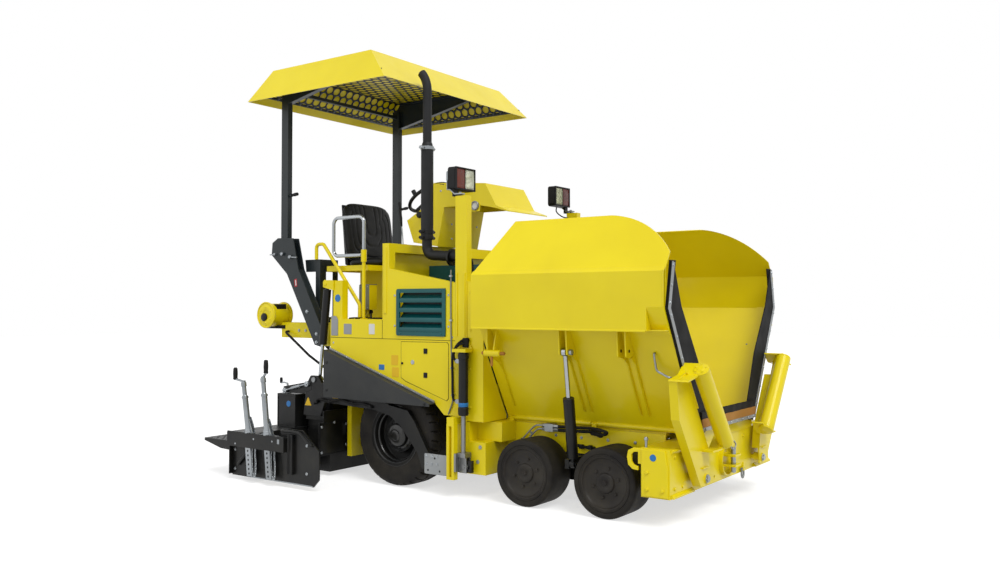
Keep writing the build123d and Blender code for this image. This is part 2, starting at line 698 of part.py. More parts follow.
# Hopper wings: slanted wall, upright and inward panels, boxed outer panel, ribs and cylinder ears
def wing():
    t = wing_t
    points = [(-hinge_y - 5, hinge_z + 11.5), (-knee_y, knee_z), (-knee_y, crease_z), (-wing_top_y, wing_top_z),
              (-wing_top_y + 7, wing_top_z - 5), (-knee_y + t, crease_z - 2), (-knee_y + t, knee_z - 2),
              (-hinge_y + 4, hinge_z + 12)]
    skin = cross_plate(points, wing_x0, wing_x1)
    panel = slab(wing_x0, wing_x1, -knee_y - 24, -knee_y - 18, 1060, crease_z - 14)
    ledge = cross_plate([(-knee_y - 24, 1060), (-knee_y - 24, 1066), (-760, 1066), (-757, 1060)],
                        wing_x0, wing_x1)
    cap = cross_plate([(-knee_y - 24, crease_z - 16), (-knee_y - 18, crease_z - 16),
                       (-knee_y + 3, crease_z + 2), (-knee_y - 2, crease_z + 8)], wing_x0, wing_x1)
    whole = fuse(skin, panel, ledge, cap)
    rear_cut = [(wing_x0 - 1, crease_z), (wing_x0 - 1, 1800), (516, 1800), (516, wing_top_z)]
    whole = whole - side_plate(rear_cut, -900, -500)
    edge = Polyline((wing_x1 + 1, -900, 1480), (wing_x1 + 1, -900, 1800), (1080, -900, 1800),
                    (1080, -900, wing_top_z))
    whole = whole - slab(1510, wing_x1 + 1, -knee_y - 30, -knee_y - 3, 1050, 1190)
    curve = ThreePointArc((1080, -900, wing_top_z), (1400, -900, 1650), (wing_x1 + 1, -900, 1480))
    whole = whole - extrude(make_face([edge, curve]), amount=500, dir=(0, 1, 0))
    tube = rod((400, -hinge_y, hinge_z), (950, -hinge_y, hinge_z), hinge_r)
    tube = tube + rod((1000, -hinge_y, hinge_z), (1550, -hinge_y, hinge_z), hinge_r)
    tube = tube - rod((390, -hinge_y, hinge_z), (1560, -hinge_y, hinge_z), pin_r - 3 + run_gap)
    whole = whole + tube
    for x in (925, 975, 1300, 1350):
        ear = cross_plate([(-757, 1062), (-690, 925), (-740, 905), (-785, 915), (-795, 1062)], x, x + 9)
        whole = whole + ear
    rear_rib = cross_plate([(-757, 1062), (-640, 840), (-650, 835), (-790, 900), (-795, 1062)], 420, 429)
    pin = rod((920, wing_high[1], wing_high[2]), (990, wing_high[1], wing_high[2]), drift_pin_r)
    whole = fuse(whole, rear_rib, pin)
    return whole


save_both(wing(), "wing_SIDE")


def flap():
    points = [(-432, 470), (-knee_y - 6, 1180), (-778, 1437), (-712, 1437), (-knee_y + 62, 1180), (-362, 500)]
    return cross_plate(points, wing_x1 + seat_gap, wing_x1 + 9)


save_both(flap(), "flap_SIDE")


# Hydraulic cylinders: barrel with its eye at base, rod with its eye at tip
def eye(centre, axis, half_width, bore):
    return across(centre, axis, 24, half_width) - across(centre, axis, bore, half_width + 1)


def barrel(base, tip, axis, length, radius, rod_r):
    tube = rod(along(base, tip, 40), along(base, tip, length), radius)
    tube = tube - rod(along(base, tip, 60), along(base, tip, length - 12), radius - 6)
    tube = tube - rod(along(base, tip, length - 13), along(base, tip, length + 1), rod_r + run_gap)
    neck = rod(along(base, tip, 18), along(base, tip, 42), 14)
    return fuse(tube, neck, eye(base, axis, 15, pin_r + run_gap))


def stem(base, tip, axis, start, radius, rod_r):
    whole = (Vector(*tip) - Vector(*base)).length
    bar = rod(along(base, tip, start), along(base, tip, whole - 18), rod_r)
    head = rod(along(base, tip, start), along(base, tip, start + 24), radius - 6 - run_gap)
    return fuse(bar, head, eye(tip, axis, 12, drift_pin_r + drift_gap))


save_both(barrel(wing_low, wing_high, (1, 0, 0), 400, 33, 14), "wing_barrel_SIDE")
save_both(stem(wing_low, wing_high, (1, 0, 0), 200, 33, 14), "wing_rod_SIDE")
save(pair(barrel(lift_top, lift_eye, (0, 1, 0), 430, 28, 13)), "lift_barrels")
save(pair(stem(lift_top, lift_eye, (0, 1, 0), 330, 28, 13)), "lift_rods")
lift_pin = rod((lift_eye[0], -664, lift_eye[2]), (lift_eye[0], -695, lift_eye[2]), drift_pin_r)
lift_pin = lift_pin + rod((lift_eye[0], -694, lift_eye[2]), (lift_eye[0], -arm_y1 - 8, lift_eye[2]), pin_r)
lift_pin = lift_pin + rod((lift_eye[0], -arm_y1 - 9, lift_eye[2]), (lift_eye[0], -arm_y1 - 2, lift_eye[2]), 18)
save(pair(lift_pin), "lift_pins")

# Push rollers on their folding channel arms
def push_arm():
    web_x0 = arm_x1 - plate + 4
    web = cross_plate([(-820, 808), (-790, 594), (-552, 255), (-515, 205), (-400, 205), (-395, 300),
                       (-417, 417), (-633, 748), (-690, 842)], web_x0, arm_x1)
    outer = cross_plate([(-820, 808), (-790, 594), (-552, 255), (-515, 205), (-508, 210), (-545, 259),
                         (-782, 597), (-812, 808)], arm_x0, arm_x1)
    inner = cross_plate([(-633, 748), (-417, 417), (-395, 300), (-403, 300), (-425, 415), (-641, 746)],
                        arm_x0, arm_x1)
    head = cross_plate([(-825, 798), (-699.5, 819.4), (-624.4, 879.1), (-630, 886.1), (-705, 826.5),
                        (-822, 808)], arm_x0, roll_low[0])
    foot = cross_plate([(-505, 395), (-380, 395), (-283, 472), (-289, 479.5), (-384, 404), (-505, 404)],
                       web_x0, roll_low[0])
    boss = pipe((arm_x0, -push_y, push_z), (arm_x1 + 6, -push_y, push_z), 27, 27 - pin_r - 4)
    whole = fuse(web, outer, inner, head, foot)
    whole = whole - rod((arm_x0 - 1, -push_y, push_z), (arm_x1 + 1, -push_y, push_z), 26) + boss
    for near, far in ((roll_low, roll_high), (roll_high, roll_low)):
        whole = whole + rod(along(near, far, -run_gap), along(near, far, -run_gap - 9), roller_r)
    return whole


save_both(push_arm(), "push_arm_SIDE")
save_both(rod(roll_low, roll_high, roller_r), "push_roller_SIDE")

# Levelling cylinders and the tow point carriages with their rods
level_base = (tow_x, -740, 905 - seat_gap)
level_barrel = rod((tow_x, -740, 514), level_base, 30) - rod((tow_x, -740, 526), (tow_x, -740, 880), 24)
level_barrel = level_barrel - rod((tow_x, -740, 513), (tow_x, -740, 530), 15 + run_gap)
save(pair(level_barrel), "level_barrels")
level_rod = rod((tow_x, -740, 280), (tow_x, -740, 700), 15)
piston = rod((tow_x, -740, 690), (tow_x, -740, 714), 23)
fork = slab(tow_x - 30, tow_x + 30, -762, -698, 256, 284)
for y0 in (-745, -706):
    fork = fork + slab(tow_x - 26, tow_x + 26, y0, y0 + 8, 160, 258)
tow_pin = rod((tow_x, -750, tow_z), (tow_x, -697, tow_z), tow_pin_r)
tow_pin = tow_pin + rod((tow_x, -738, tow_z), (tow_x, -arm_y1 - run_gap, tow_z), 2 * tow_pin_r)
tow_pin = tow_pin + rod((tow_x, -arm_y0 + run_gap, tow_z), (tow_x, -705, tow_z), 2 * tow_pin_r)
shoe = slab(167, 181, -785, -745, 170, 280) + slab(176, 182, -785, -738, 258, 280)
save(pair(fuse(level_rod, piston, fork, tow_pin, shoe)), "tow_points")


# Screed with its tow arms, levelling plate and walkway
def tow_arm():
    outline = [(tow_x + 58, tow_z - 36), (tow_x + 58, tow_z + 36), (60, 236), (-50, 240), (-85, 262),
               (-199, 446), (-256, 512), (-420, 538), (-600, 572), (-800, 600), (-1045, 645), (-1090, 700),
               (-1160, 700), (-1200, 640), (-1230, 420), (-1060, 420), (-1018, 520), (-560, 500),
               (-411, 470), (-314, 408), (-170, 248), (-130, 150)]
    arm = side_plate(outline, -arm_y1, -arm_y0)
    hole_r = tow_pin_r + tow_room
    arm = arm - slab(tow_x - tow_slot, tow_x + tow_slot, -arm_y1 - 1, -arm_y0 + 1,
                     tow_z - hole_r, tow_z + hole_r)
    for end in (-tow_slot, tow_slot):
        arm = arm - rod((tow_x + end, -arm_y1 - 1, tow_z), (tow_x + end, -arm_y0 + 1, tow_z), hole_r)
    x, y, z = lift_eye
    return arm - rod((x, -arm_y1 - 1, z), (x, -arm_y0 + 1, z), pin_r + run_gap)


def screed():
    shell = slab(screed_x0, screed_x1, -screed_y, screed_y, screed_z0, screed_z1)
    shell = shell - slab(screed_x0 + 10, screed_x1 - 10, -screed_y + 10, screed_y - 10, screed_z0 + 20,
                         screed_z1 - 8)
    walk = slab(-1200, -1076, -600, 600, screed_z1 - 1, 560)
    walk = walk - slab(-1192, -1084, -592, 592, screed_z1, 552)
    foot = slab(screed_x0 + 10, screed_x1 - 30, -arm_y0 - 1, -screed_y + 1, 388, 440)
    half = tow_arm() + foot + slab(screed_x0 + 10, screed_x1 - 30, -screed_y - 1, -screed_y + 40, 398, 440)
    board = slab(screed_x1 - 1, screed_x1 + 7, -790, 790, 150, 380)
    board = board + slab(screed_x1 - 1, screed_x1 + 7, -750, 750, 379, 460)
    for z in (130, 270):
        board = board + slab(ext_x1 + run_gap, screed_x0 + 1, -screed_y + 10, screed_y - 10, z, z + 36)
    whole = fuse(shell, walk, half, left(half), board)
    return whole


save(screed(), "screed")


# Screed extensions: box, footboard, guide tower and end gate
def extension():
    box = slab(ext_x0, ext_x1, -gate_y + gate_t, -ext_in, screed_z0, ext_z1)
    box = box - slab(ext_x0 + 8, ext_x1 - 8, -gate_y + gate_t + 8, -ext_in + 1, screed_z0 + 15, ext_z1 - 8)
    step = slab(-1820, ext_x0 + 1, -gate_y + gate_t, -ext_in, 236, 256)
    gate = side_plate([(ext_x0, 30), (-700, 30), (-650, 80), (-650, 262), (-800, 384), (-1010, 384),
                       (-1010, ext_z1), (ext_x0, ext_z1)], -gate_y, -gate_y + gate_t + 1)
    cover = slab(ext_x0, -930, -cover_y, -gate_y + 1, cover_z, ext_z1)
    cheeks = []
    for y in (-gate_y + gate_t, -ext_in - gate_t):
        cheeks.append(side_plate([(-1820, 238), (-1640, 196), (ext_x0 + 1, 190),
                                  (ext_x0 + 1, 240), (-1820, 240)], y, y + gate_t))
    tower = slab(-1470, -1290, -760, -600, ext_z1 - 1, 560)
    tower = tower - slab(-1462, -1298, -752, -608, ext_z1, 552)
    return fuse(box, step, gate, cover, tower, *cheeks)


save_both(extension(), "extension_SIDE")


def spindles():
    y = -(gate_y + cover_y) / 2
    solids = []
    for x, top_x, top_z, grip_x, grip_z0, grip_z1 in spindle_rows:
        tube = rod((x, y, ext_z1 + 2), (top_x, y, top_z), 15)
        crank = rod((top_x, y, top_z - 6), (grip_x, y, grip_z0), 8)
        grip = rod((grip_x, y, grip_z0 - 8), (grip_x - 4, y, grip_z1), 12)
        gusset = side_plate([(x - 45, ext_z1 + seat_gap), (x + 45, ext_z1 + seat_gap), (x + 5, ext_z1 + 95),
                             (x - 15, ext_z1 + 95)], y - 3, y + 3)
        lower = rod((x + 8, y, 60), (x + 2, y, cover_z - seat_gap - 2), 15)
        neck = slab(x - 12, x + 16, y - 12, y + 12, cover_z - 20, cover_z - seat_gap)
        solids.append(fuse(tube, crank, grip, gusset))
        solids.append(lower + neck)
    return Compound(children=solids)


save(spindles(), "spindles_right")
save(Compound(children=[left(one) for one in spindles().children]), "spindles_left")


# Augers on their shafts
def auger():
    shaft = rod((auger_x, -case_y + 30, auger_z), (auger_x, -column_y1 + 8, auger_z), 30)
    for i in range(4):
        y = -110 - i * 105
        shaft = shaft + rod((auger_x, y, auger_z), (auger_x, y - 10, auger_z), auger_r)
    return shaft


save_both(auger(), "auger_SIDE")

# Steering wheel
steering = wheel_plane * Torus(165, 13)
steering = steering + wheel_plane * Box(310, 26, 12)
steering = steering + wheel_plane * Pos(0, 0, -column_gap / 2) * Cylinder(column_r - 8, column_gap)
knob = wheel_plane * Pos(0, -165, 22) * Cylinder(16, 40)
save(steering + knob, "steering_wheel")
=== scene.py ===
from math import radians

import bmesh
import bpy
import numpy as np
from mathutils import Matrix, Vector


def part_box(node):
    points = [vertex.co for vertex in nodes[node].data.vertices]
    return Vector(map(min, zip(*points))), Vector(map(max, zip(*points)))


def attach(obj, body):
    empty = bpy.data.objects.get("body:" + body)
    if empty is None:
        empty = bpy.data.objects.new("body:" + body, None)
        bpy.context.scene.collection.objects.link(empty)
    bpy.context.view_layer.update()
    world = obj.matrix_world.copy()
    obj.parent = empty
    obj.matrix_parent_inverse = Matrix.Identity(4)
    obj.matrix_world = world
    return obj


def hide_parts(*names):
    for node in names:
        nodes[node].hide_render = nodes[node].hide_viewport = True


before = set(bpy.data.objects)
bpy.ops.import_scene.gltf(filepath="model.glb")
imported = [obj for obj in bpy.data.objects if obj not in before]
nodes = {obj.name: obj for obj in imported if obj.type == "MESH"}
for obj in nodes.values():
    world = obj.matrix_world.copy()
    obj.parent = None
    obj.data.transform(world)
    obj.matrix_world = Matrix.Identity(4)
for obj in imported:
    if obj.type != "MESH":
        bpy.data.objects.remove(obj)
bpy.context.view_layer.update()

fullTurn = 2 * np.pi
forward, backward, rightward, upward = (1, 0, 0), (-1, 0, 0), (0, -1, 0), (0, 0, 1)  # the right side has negative Y

camera = {"place": (3.7, -5.258, 1.2), "tilt": 91.47, "turn": 35.44, "lens": 33.09}
stage = {"floor": 30.0, "floorTone": 0.55, "lift": 0.62}
light = {"world": 0.6, "sun": 1.7, "sunTilt": (38, 0, 62), "softness": 28, "fill": 0.5, "fillTilt": (62, 0, -28),
         "fillSoftness": 60}


def makeCamera():
    eye = bpy.data.objects.new("photoCamera", bpy.data.cameras.new("photoCamera"))
    eye.data.lens = camera["lens"]
    eye.data.sensor_width = 36
    eye.location = camera["place"]
    eye.rotation_euler = (radians(camera["tilt"]), 0, radians(camera["turn"]))
    bpy.context.scene.collection.objects.link(eye)
    bpy.context.scene.camera = eye


def add(tree, kind, inputs=None, **settings):
    item = tree.nodes.new("ShaderNode" + kind)
    for key, value in settings.items():
        setattr(item, key, value)
    for key, value in (inputs or {}).items():
        if isinstance(value, bpy.types.NodeSocket):
            tree.links.new(value, item.inputs[key])
        else:
            item.inputs[key].default_value = value
    return item


def seenDirectly(tree):
    # 1 for what the camera sees, also through glass and in a reflection
    path = add(tree, "LightPath")
    first = add(tree, "Math", {0: path.outputs["Is Camera Ray"], 1: path.outputs["Is Glossy Ray"]}, operation="MAXIMUM")
    return add(tree, "Math", {0: first.outputs[0], 1: path.outputs["Is Transmission Ray"]},
               operation="MAXIMUM").outputs[0]


def makeStage():
    world = bpy.data.worlds.new("studio")
    bpy.context.scene.world = world
    world.use_nodes = True
    tree = world.node_tree
    tree.nodes.clear()
    strength = add(tree, "Mix", {0: seenDirectly(tree), 2: light["world"], 3: 1.0}, data_type="FLOAT")
    glow = add(tree, "Background", {"Color": (1, 1, 1, 1), "Strength": strength.outputs[0]})
    tree.links.new(glow.outputs[0], add(tree, "OutputWorld").inputs[0])

    mesh = bpy.data.meshes.new("floor")
    span = stage["floor"]
    mesh.from_pydata([(-span, -span, 0), (span, -span, 0), (span, span, 0), (-span, span, 0)], [], [(0, 1, 2, 3)])
    floor = bpy.data.objects.new("floor", mesh)
    bpy.context.scene.collection.objects.link(floor)
    paper = bpy.data.materials.new("paleFloor")
    paper.use_nodes = True
    tree = paper.node_tree
    tree.nodes.clear()
    tone = stage["floorTone"]
    matte = add(tree, "BsdfDiffuse", {"Color": (tone, tone, tone, 1)})
    lift = add(tree, "Math", {0: seenDirectly(tree), 1: stage["lift"]}, operation="MULTIPLY")
    glow = add(tree, "Emission", {"Color": (1, 1, 1, 1), "Strength": lift.outputs[0]})
    both = add(tree, "AddShader", {0: matte.outputs[0], 1: glow.outputs[0]})
    tree.links.new(both.outputs[0], add(tree, "OutputMaterial").inputs[0])
    mesh.materials.append(paper)


def makeLights():
    for name, strength, tilt, spread in (("mainLight", light["sun"], light["sunTilt"], light["softness"]),
                                         ("fillLight", light["fill"], light["fillTilt"], light["fillSoftness"])):
        lamp = bpy.data.lights.new(name, "SUN")
        lamp.energy = strength
        lamp.angle = radians(spread)
        holder = bpy.data.objects.new(name, lamp)
        holder.rotation_euler = tuple(radians(a) for a in tilt)
        bpy.context.scene.collection.objects.link(holder)


makeCamera()
makeStage()
makeLights()
bpy.context.scene.view_settings.view_transform = "Standard"
print("camera, stage and light are set")


def linear(hexColour):
    # screen colour to linear light
    c = np.array([int(hexColour[i:i + 2], 16) for i in (1, 3, 5)]) / 255
    return (*np.where(c <= 0.04045, c / 12.92, ((c + 0.055) / 1.055) ** 2.4).tolist(), 1.0)


def tones(base, shade, rough, grain, **more):
    return {"base": base, "shade": shade, "rough": rough, "grain": grain, **more}


# base and shade, the two tones that a slow noise blends; rough: lowest and highest roughness;
# grain: kind, scale and depth in metres; wear: colour and amount of a paler tone along edges, partly worn paint
# and partly a painted highlight on the rounding; dust: amount near the ground;
# coat, metal and gloss: weight of the clear coat, of metal and of the plain reflection
finishes = {
    "lemon_paint": tones("#EAD605", "#E3CE03", (0.3, 0.38), ("noise", 260, 0.00012), coat=0.12, wear=("#EFE24A", 0.3),
                         dust=0.03, gloss=0.27),
    "dark_paint": tones("#1D2528", "#182023", (0.36, 0.48), ("noise", 500, 0.0001), coat=0.1, wear=("#5A6467", 0.45),
                        dust=0.04, gloss=0.3),
    "fender_paint": tones("#2C2E2F", "#262829", (0.42, 0.52), ("noise", 600, 0.00012), coat=0.04, wear=("#6B6E6F", 0.5),
                          dust=0.06, gloss=0.28),
    "teal_paint": tones("#065557", "#04484A", (0.3, 0.4), ("noise", 300, 0.0001), coat=0.15, wear=("#3E8F8A", 0.4),
                        dust=0.03, gloss=0.25),
    "black_paint": tones("#0D0E0F", "#090A0B", (0.34, 0.5), ("noise", 420, 0.00015), coat=0.08, wear=("#5B5E60", 0.5),
                         dust=0.03, gloss=0.22),
    "black_plastic": tones("#0C0D0E", "#09090A", (0.45, 0.55), ("leather", 900, 0.0001), wear=("#3A3C3E", 0.3),
                           gloss=0.24),
    "vinyl": tones("#090A0A", "#070707", (0.42, 0.56), ("leather", 420, 0.0004), wear=("#34363A", 0.25), gloss=0.28),
    "black_rubber": tones("#0E0E0F", "#0A0A0B", (0.62, 0.78), ("noise", 700, 0.0002), dust=0.04, gloss=0.2),
    "tyre_rubber": tones("#171514", "#121010", (0.6, 0.76), ("noise", 380, 0.0003), wear=("#45413E", 0.3), dust=0.07,
                         gloss=0.2),
    "wheelPaint": tones("#191512", "#14100E", (0.5, 0.62), ("noise", 420, 0.0002), coat=0.05, wear=("#5A5049", 0.35),
                        dust=0.06, gloss=0.24),
    "cast": tones("#3A3B3B", "#2D2E2E", (0.5, 0.66), ("noise", 160, 0.0008), metal=0.3, dust=0.2),
    "steel": tones("#8C8F91", "#74777A", (0.32, 0.5), ("brushed", 240, 0.0001), metal=0.85, wear=("#C3C6C8", 0.4),
                   dust=0.15),
    "rod_chrome": tones("#A4A8AB", "#969A9D", (0.08, 0.16), ("brushed", 700, 0.00002), metal=1.0),
    "zinc": tones("#9FA4A8", "#858A8E", (0.26, 0.42), ("spangle", 90, 0.00005), metal=0.8, wear=("#E6E9EB", 0.4),
                  dust=0.06),
    "exhaustBlack": tones("#17181A", "#111213", (0.5, 0.66), ("noise", 300, 0.0003), wear=("#4A4A4A", 0.3), gloss=0.3),
    "reliefBand": tones("#B0792A", "#96651F", (0.55, 0.7), ("noise", 240, 0.0004), dust=0.1),
    "boxGrey": tones("#7C7F74", "#727569", (0.42, 0.5), ("noise", 500, 0.0001), wear=("#A3A69C", 0.4)),
    "bareSheet": tones("#9A9D9E", "#898C8E", (0.35, 0.5), ("spangle", 60, 0.00004), metal=0.55, wear=("#C9CCCD", 0.5)),
    # the lamp glasses' two tones are painted light and shade: a lit tone and a dark one that the slow noise blends
    "amberGlass": tones("#8A2503", "#4E1202", (0.08, 0.14), ("ribs", 55, 0.0012), coat=0.3, gloss=0.3),
    "clearGlass": tones("#D9DCD4", "#8E9174", (0.05, 0.1), ("ribs", 38, 0.0016), coat=0.5, metal=0.35),
    "blueDisc": tones("#1F73B8", "#1A69AB", (0.3, 0.36), ("noise", 800, 0.00004)),
    "whitePlate": tones("#DEDEDA", "#D2D2CD", (0.34, 0.42), ("noise", 800, 0.00004)),
    "orangePlate": tones("#E3B90C", "#DBB008", (0.34, 0.42), ("noise", 800, 0.00004)),
    "greyPlate": tones("#8D8F90", "#7B7D7E", (0.3, 0.4), ("brushed", 500, 0.00004), metal=0.4),
    "redPlate": tones("#B5202A", "#A81B24", (0.28, 0.36), ("noise", 800, 0.00004)),
}
finishes["rimBlack"] = {**finishes["black_paint"], "coat": 0.5}  # the same paint with more shine
surface = {"edge": 0.0022, "dustTone": "#A39A82", "dustHeight": 0.9, "coatRough": 0.08, "gloss": 0.35}


def noise(tree, vector, scale, detail=3.0):
    return add(tree, "TexNoise", {"Vector": vector, "Scale": scale, "Detail": detail}).outputs[0]


def spread(tree, value, low, high, toLow=0.0, toHigh=1.0):
    return add(tree, "MapRange", {0: value, 1: low, 2: high, 3: toLow, 4: toHigh}).outputs[0]


def blendTones(tree, factor, first, second):
    return add(tree, "Mix", {0: factor, 6: first, 7: second}, data_type="RGBA").outputs[2]


def grainHeight(tree, place, kind, scale):
    if kind == "leather":  # pebbles with fine creases
        cells = add(tree, "TexVoronoi", {"Vector": place, "Scale": scale}, feature="SMOOTH_F1").outputs["Distance"]
        return add(tree, "Math", {0: cells, 1: noise(tree, place, scale / 9, 5.0)}, operation="ADD").outputs[0]
    if kind == "spangle":  # zinc crystals
        return add(tree, "TexVoronoi", {"Vector": place, "Scale": scale}).outputs["Distance"]
    if kind == "ribs":  # moulded bars of a lamp lens
        return add(tree, "TexWave", {"Vector": place, "Scale": scale, "Distortion": 0.4},
                   bands_direction="Z").outputs[1]
    if kind == "brushed":  # fine lines around and along
        stretched = add(tree, "Mapping", {"Vector": place, "Scale": (1.0, 1.0, 0.08)}).outputs[0]
        return noise(tree, stretched, scale, 6.0)
    return noise(tree, place, scale, 3.0)


def makeFinish(name):
    look = finishes[name]
    finish = bpy.data.materials.new("finish_" + name)
    finish.use_nodes = True
    tree = finish.node_tree
    shader = tree.nodes["Principled BSDF"]
    place = add(tree, "TexCoord").outputs["Object"]
    rounded = add(tree, "Bevel", {"Radius": surface["edge"]}, samples=4).outputs[0]
    tone = blendTones(tree, spread(tree, noise(tree, place, 2.4, 5.0), 0.35, 0.65), linear(look["base"]),
                      linear(look["shade"]))
    fine = noise(tree, place, 38.0, 6.0)
    if "wear" in look:  # where the rounded normal leaves the true one there is an edge
        # the paler tone mixed in along edges is partly worn paint and partly a painted highlight on the rounding
        colour, amount = look["wear"]
        flat = add(tree, "NewGeometry").outputs["Normal"]
        turn = add(tree, "VectorMath", {0: rounded, 1: flat}, operation="DOT_PRODUCT").outputs["Value"]
        edge = spread(tree, turn, 0.86, 0.995, amount, 0.0)
        patchy = add(tree, "Math", {0: edge, 1: spread(tree, fine, 0.3, 0.6, 0.3, 1.0)},
                     operation="MULTIPLY").outputs[0]
        tone = blendTones(tree, patchy, tone, linear(colour))
    if look.get("dust"):  # pale dust, thicker towards the ground
        height = add(tree, "SeparateXYZ", {0: place}).outputs[2]
        low = spread(tree, height, 0.0, surface["dustHeight"], look["dust"], look["dust"] * 0.15)
        veil = add(tree, "Math", {0: low, 1: spread(tree, noise(tree, place, 7.0, 6.0), 0.35, 0.7)},
                   operation="MULTIPLY").outputs[0]
        tone = blendTones(tree, veil, tone, linear(surface["dustTone"]))
    tree.links.new(tone, shader.inputs["Base Color"])
    roughness = spread(tree, noise(tree, place, 11.0, 5.0), 0.3, 0.7, look["rough"][0], look["rough"][1])
    tree.links.new(roughness, shader.inputs["Roughness"])
    kind, scale, depth = look["grain"]
    bump = add(tree, "Bump", {"Height": grainHeight(tree, place, kind, scale), "Distance": depth, "Strength": 1.0,
                              "Normal": rounded})
    tree.links.new(bump.outputs[0], shader.inputs["Normal"])
    shader.inputs["Metallic"].default_value = look.get("metal", 0.0)
    shader.inputs["Coat Weight"].default_value = look.get("coat", 0.0)
    shader.inputs["Coat Roughness"].default_value = surface["coatRough"]
    shader.inputs["Specular IOR Level"].default_value = look.get("gloss", surface["gloss"])
    return finish


made = {name: makeFinish(name) for name in finishes}

# CAD nodes whose finish isn't that of their slot
ownFinish = {"exhaust": "exhaustBlack", "rear_rim_right": "rimBlack", "rear_rim_left": "rimBlack",
             "spindles_right": "zinc", "spindles_left": "zinc"}
for nodeName, node in nodes.items():
    slotName = node.data.materials[0].name.split(".")[0] if node.data.materials else "lemon_paint"
    chosen = ownFinish.get(nodeName, slotName if slotName in made else "lemon_paint")
    for place in node.material_slots:
        place.material = made[chosen]
print("finishes are on", len(nodes), "nodes")


# numpy shapes: each gives its points and its faces, and a piece joins several
def unit(vector):
    vector = np.asarray(vector, float)
    return vector / np.linalg.norm(vector, axis=-1, keepdims=True)


def gridFaces(rows, cols, closeRows=False, closeCols=False):
    # a quad from each point of a grid to its next neighbours; a closed direction joins its end to its start
    a, b = np.meshgrid(np.arange(rows if closeRows else rows - 1), np.arange(cols if closeCols else cols - 1),
                       indexing="ij")
    a, b = a.ravel(), b.ravel()
    c, d = (a + 1) % rows, (b + 1) % cols
    return np.stack([a * cols + b, c * cols + b, c * cols + d, a * cols + d], 1).tolist()


def boxes(*limits):
    # the eight corners of every box are the choices of its low or high limit along X, Y and Z
    limit = np.array(limits, float).reshape(-1, 6)
    corner = np.array([(i, j, k) for i in (0, 1) for j in (2, 3) for k in (4, 5)])
    quad = np.array([(0, 1, 3, 2), (4, 6, 7, 5), (0, 4, 5, 1), (2, 3, 7, 6), (0, 2, 6, 4), (1, 5, 7, 3)])
    faces = np.arange(len(limit))[:, None, None] * 8 + quad
    return limit[:, corner].reshape(-1, 3), faces.reshape(-1, 4).tolist()


def tube(path, radius, sides=14, closed=False):
    # a circle carried along a path: at each point it stands square to the direction from the last point to the next
    path = np.array(path, float)
    ahead = np.roll(path, -1, 0) - np.roll(path, 1, 0) if closed else np.gradient(path, axis=0)
    ahead = unit(ahead)
    least = np.linalg.svd(path - path.mean(0))[2][-1]  # the direction in which the path spreads least
    side = unit(np.cross(ahead, least))
    up = np.cross(side, ahead)
    turn = np.linspace(0, fullTurn, sides, endpoint=False)
    ring = np.cos(turn)[:, None] * side[:, None] + np.sin(turn)[:, None] * up[:, None]
    points = path[:, None] + np.broadcast_to(radius, len(path))[:, None, None] * ring
    faces = gridFaces(len(path), sides, closeRows=closed, closeCols=True)
    if not closed:
        last = (len(path) - 1) * sides
        faces += [list(range(sides))[::-1], list(range(last, last + sides))]
    return points.reshape(-1, 3), faces


def smoothPath(points, steps=8):
    # a cubic between each two points, whose slope at a point is half the step from the last to the next
    p = np.array(points, float)
    p = np.vstack([2 * p[0] - p[1], p, 2 * p[-1] - p[-2]])
    t = (np.arange(steps) / steps)[:, None, None]
    a, b, c, d = p[:-3], p[1:-2], p[2:-1], p[3:]
    curve = 0.5 * (2 * b + (c - a) * t + (2 * a - 5 * b + 4 * c - d) * t ** 2 + (3 * b - a - 3 * c + d) * t ** 3)
    return np.vstack([curve.transpose(1, 0, 2).reshape(-1, 3), p[-2]])


def circle(axis, sides):
    # points of a circle of radius 1: cosine along one direction square to the axis, sine along the other
    across = unit(np.cross(axis, upward if abs(axis[2]) < 0.9 else forward))
    turn = np.linspace(0, fullTurn, sides, endpoint=False)[:, None]
    return np.cos(turn) * across + np.sin(turn) * np.cross(axis, across)


def turned(profile, centre, axis=(0, 1, 0), sides=40, closed=False):
    # a profile of radius and distance carried round an axis through a centre
    axis = unit(axis)
    ring = circle(axis, sides)
    radius, distance = np.array(profile, float).T
    points = np.array(centre) + radius[:, None, None] * ring + distance[:, None, None] * axis
    return points.reshape(-1, 3), gridFaces(len(radius), sides, closeRows=closed, closeCols=True)


def plate(outline, low, high, through="y"):
    # an outline in the other two directions, pushed from low to high
    flat = np.array(outline, float)
    count = len(flat)
    depth = np.repeat([low, high], count)
    flat = np.vstack([flat, flat])
    columns = {"x": (depth, flat[:, 0], flat[:, 1]), "y": (flat[:, 0], depth, flat[:, 1]),
               "z": (flat[:, 0], flat[:, 1], depth)}[through]
    i = np.arange(count)
    j = (i + 1) % count
    faces = np.stack([i, j, j + count, i + count], 1).tolist()
    return np.stack(columns, 1), faces + [list(range(count))[::-1], list(range(count, 2 * count))]


def roundedOutline(x0, x1, z0, z1, r, steps=5):
    # four quarter circles joined by straight sides
    turn = np.linspace(0, np.pi / 2, steps)
    corners = ((x1 - r, z1 - r, 0.0), (x0 + r, z1 - r, 0.5), (x0 + r, z0 + r, 1.0), (x1 - r, z0 + r, 1.5))
    return np.vstack([np.stack([x + r * np.cos(turn + a * np.pi), z + r * np.sin(turn + a * np.pi)], 1)
                      for x, z, a in corners])


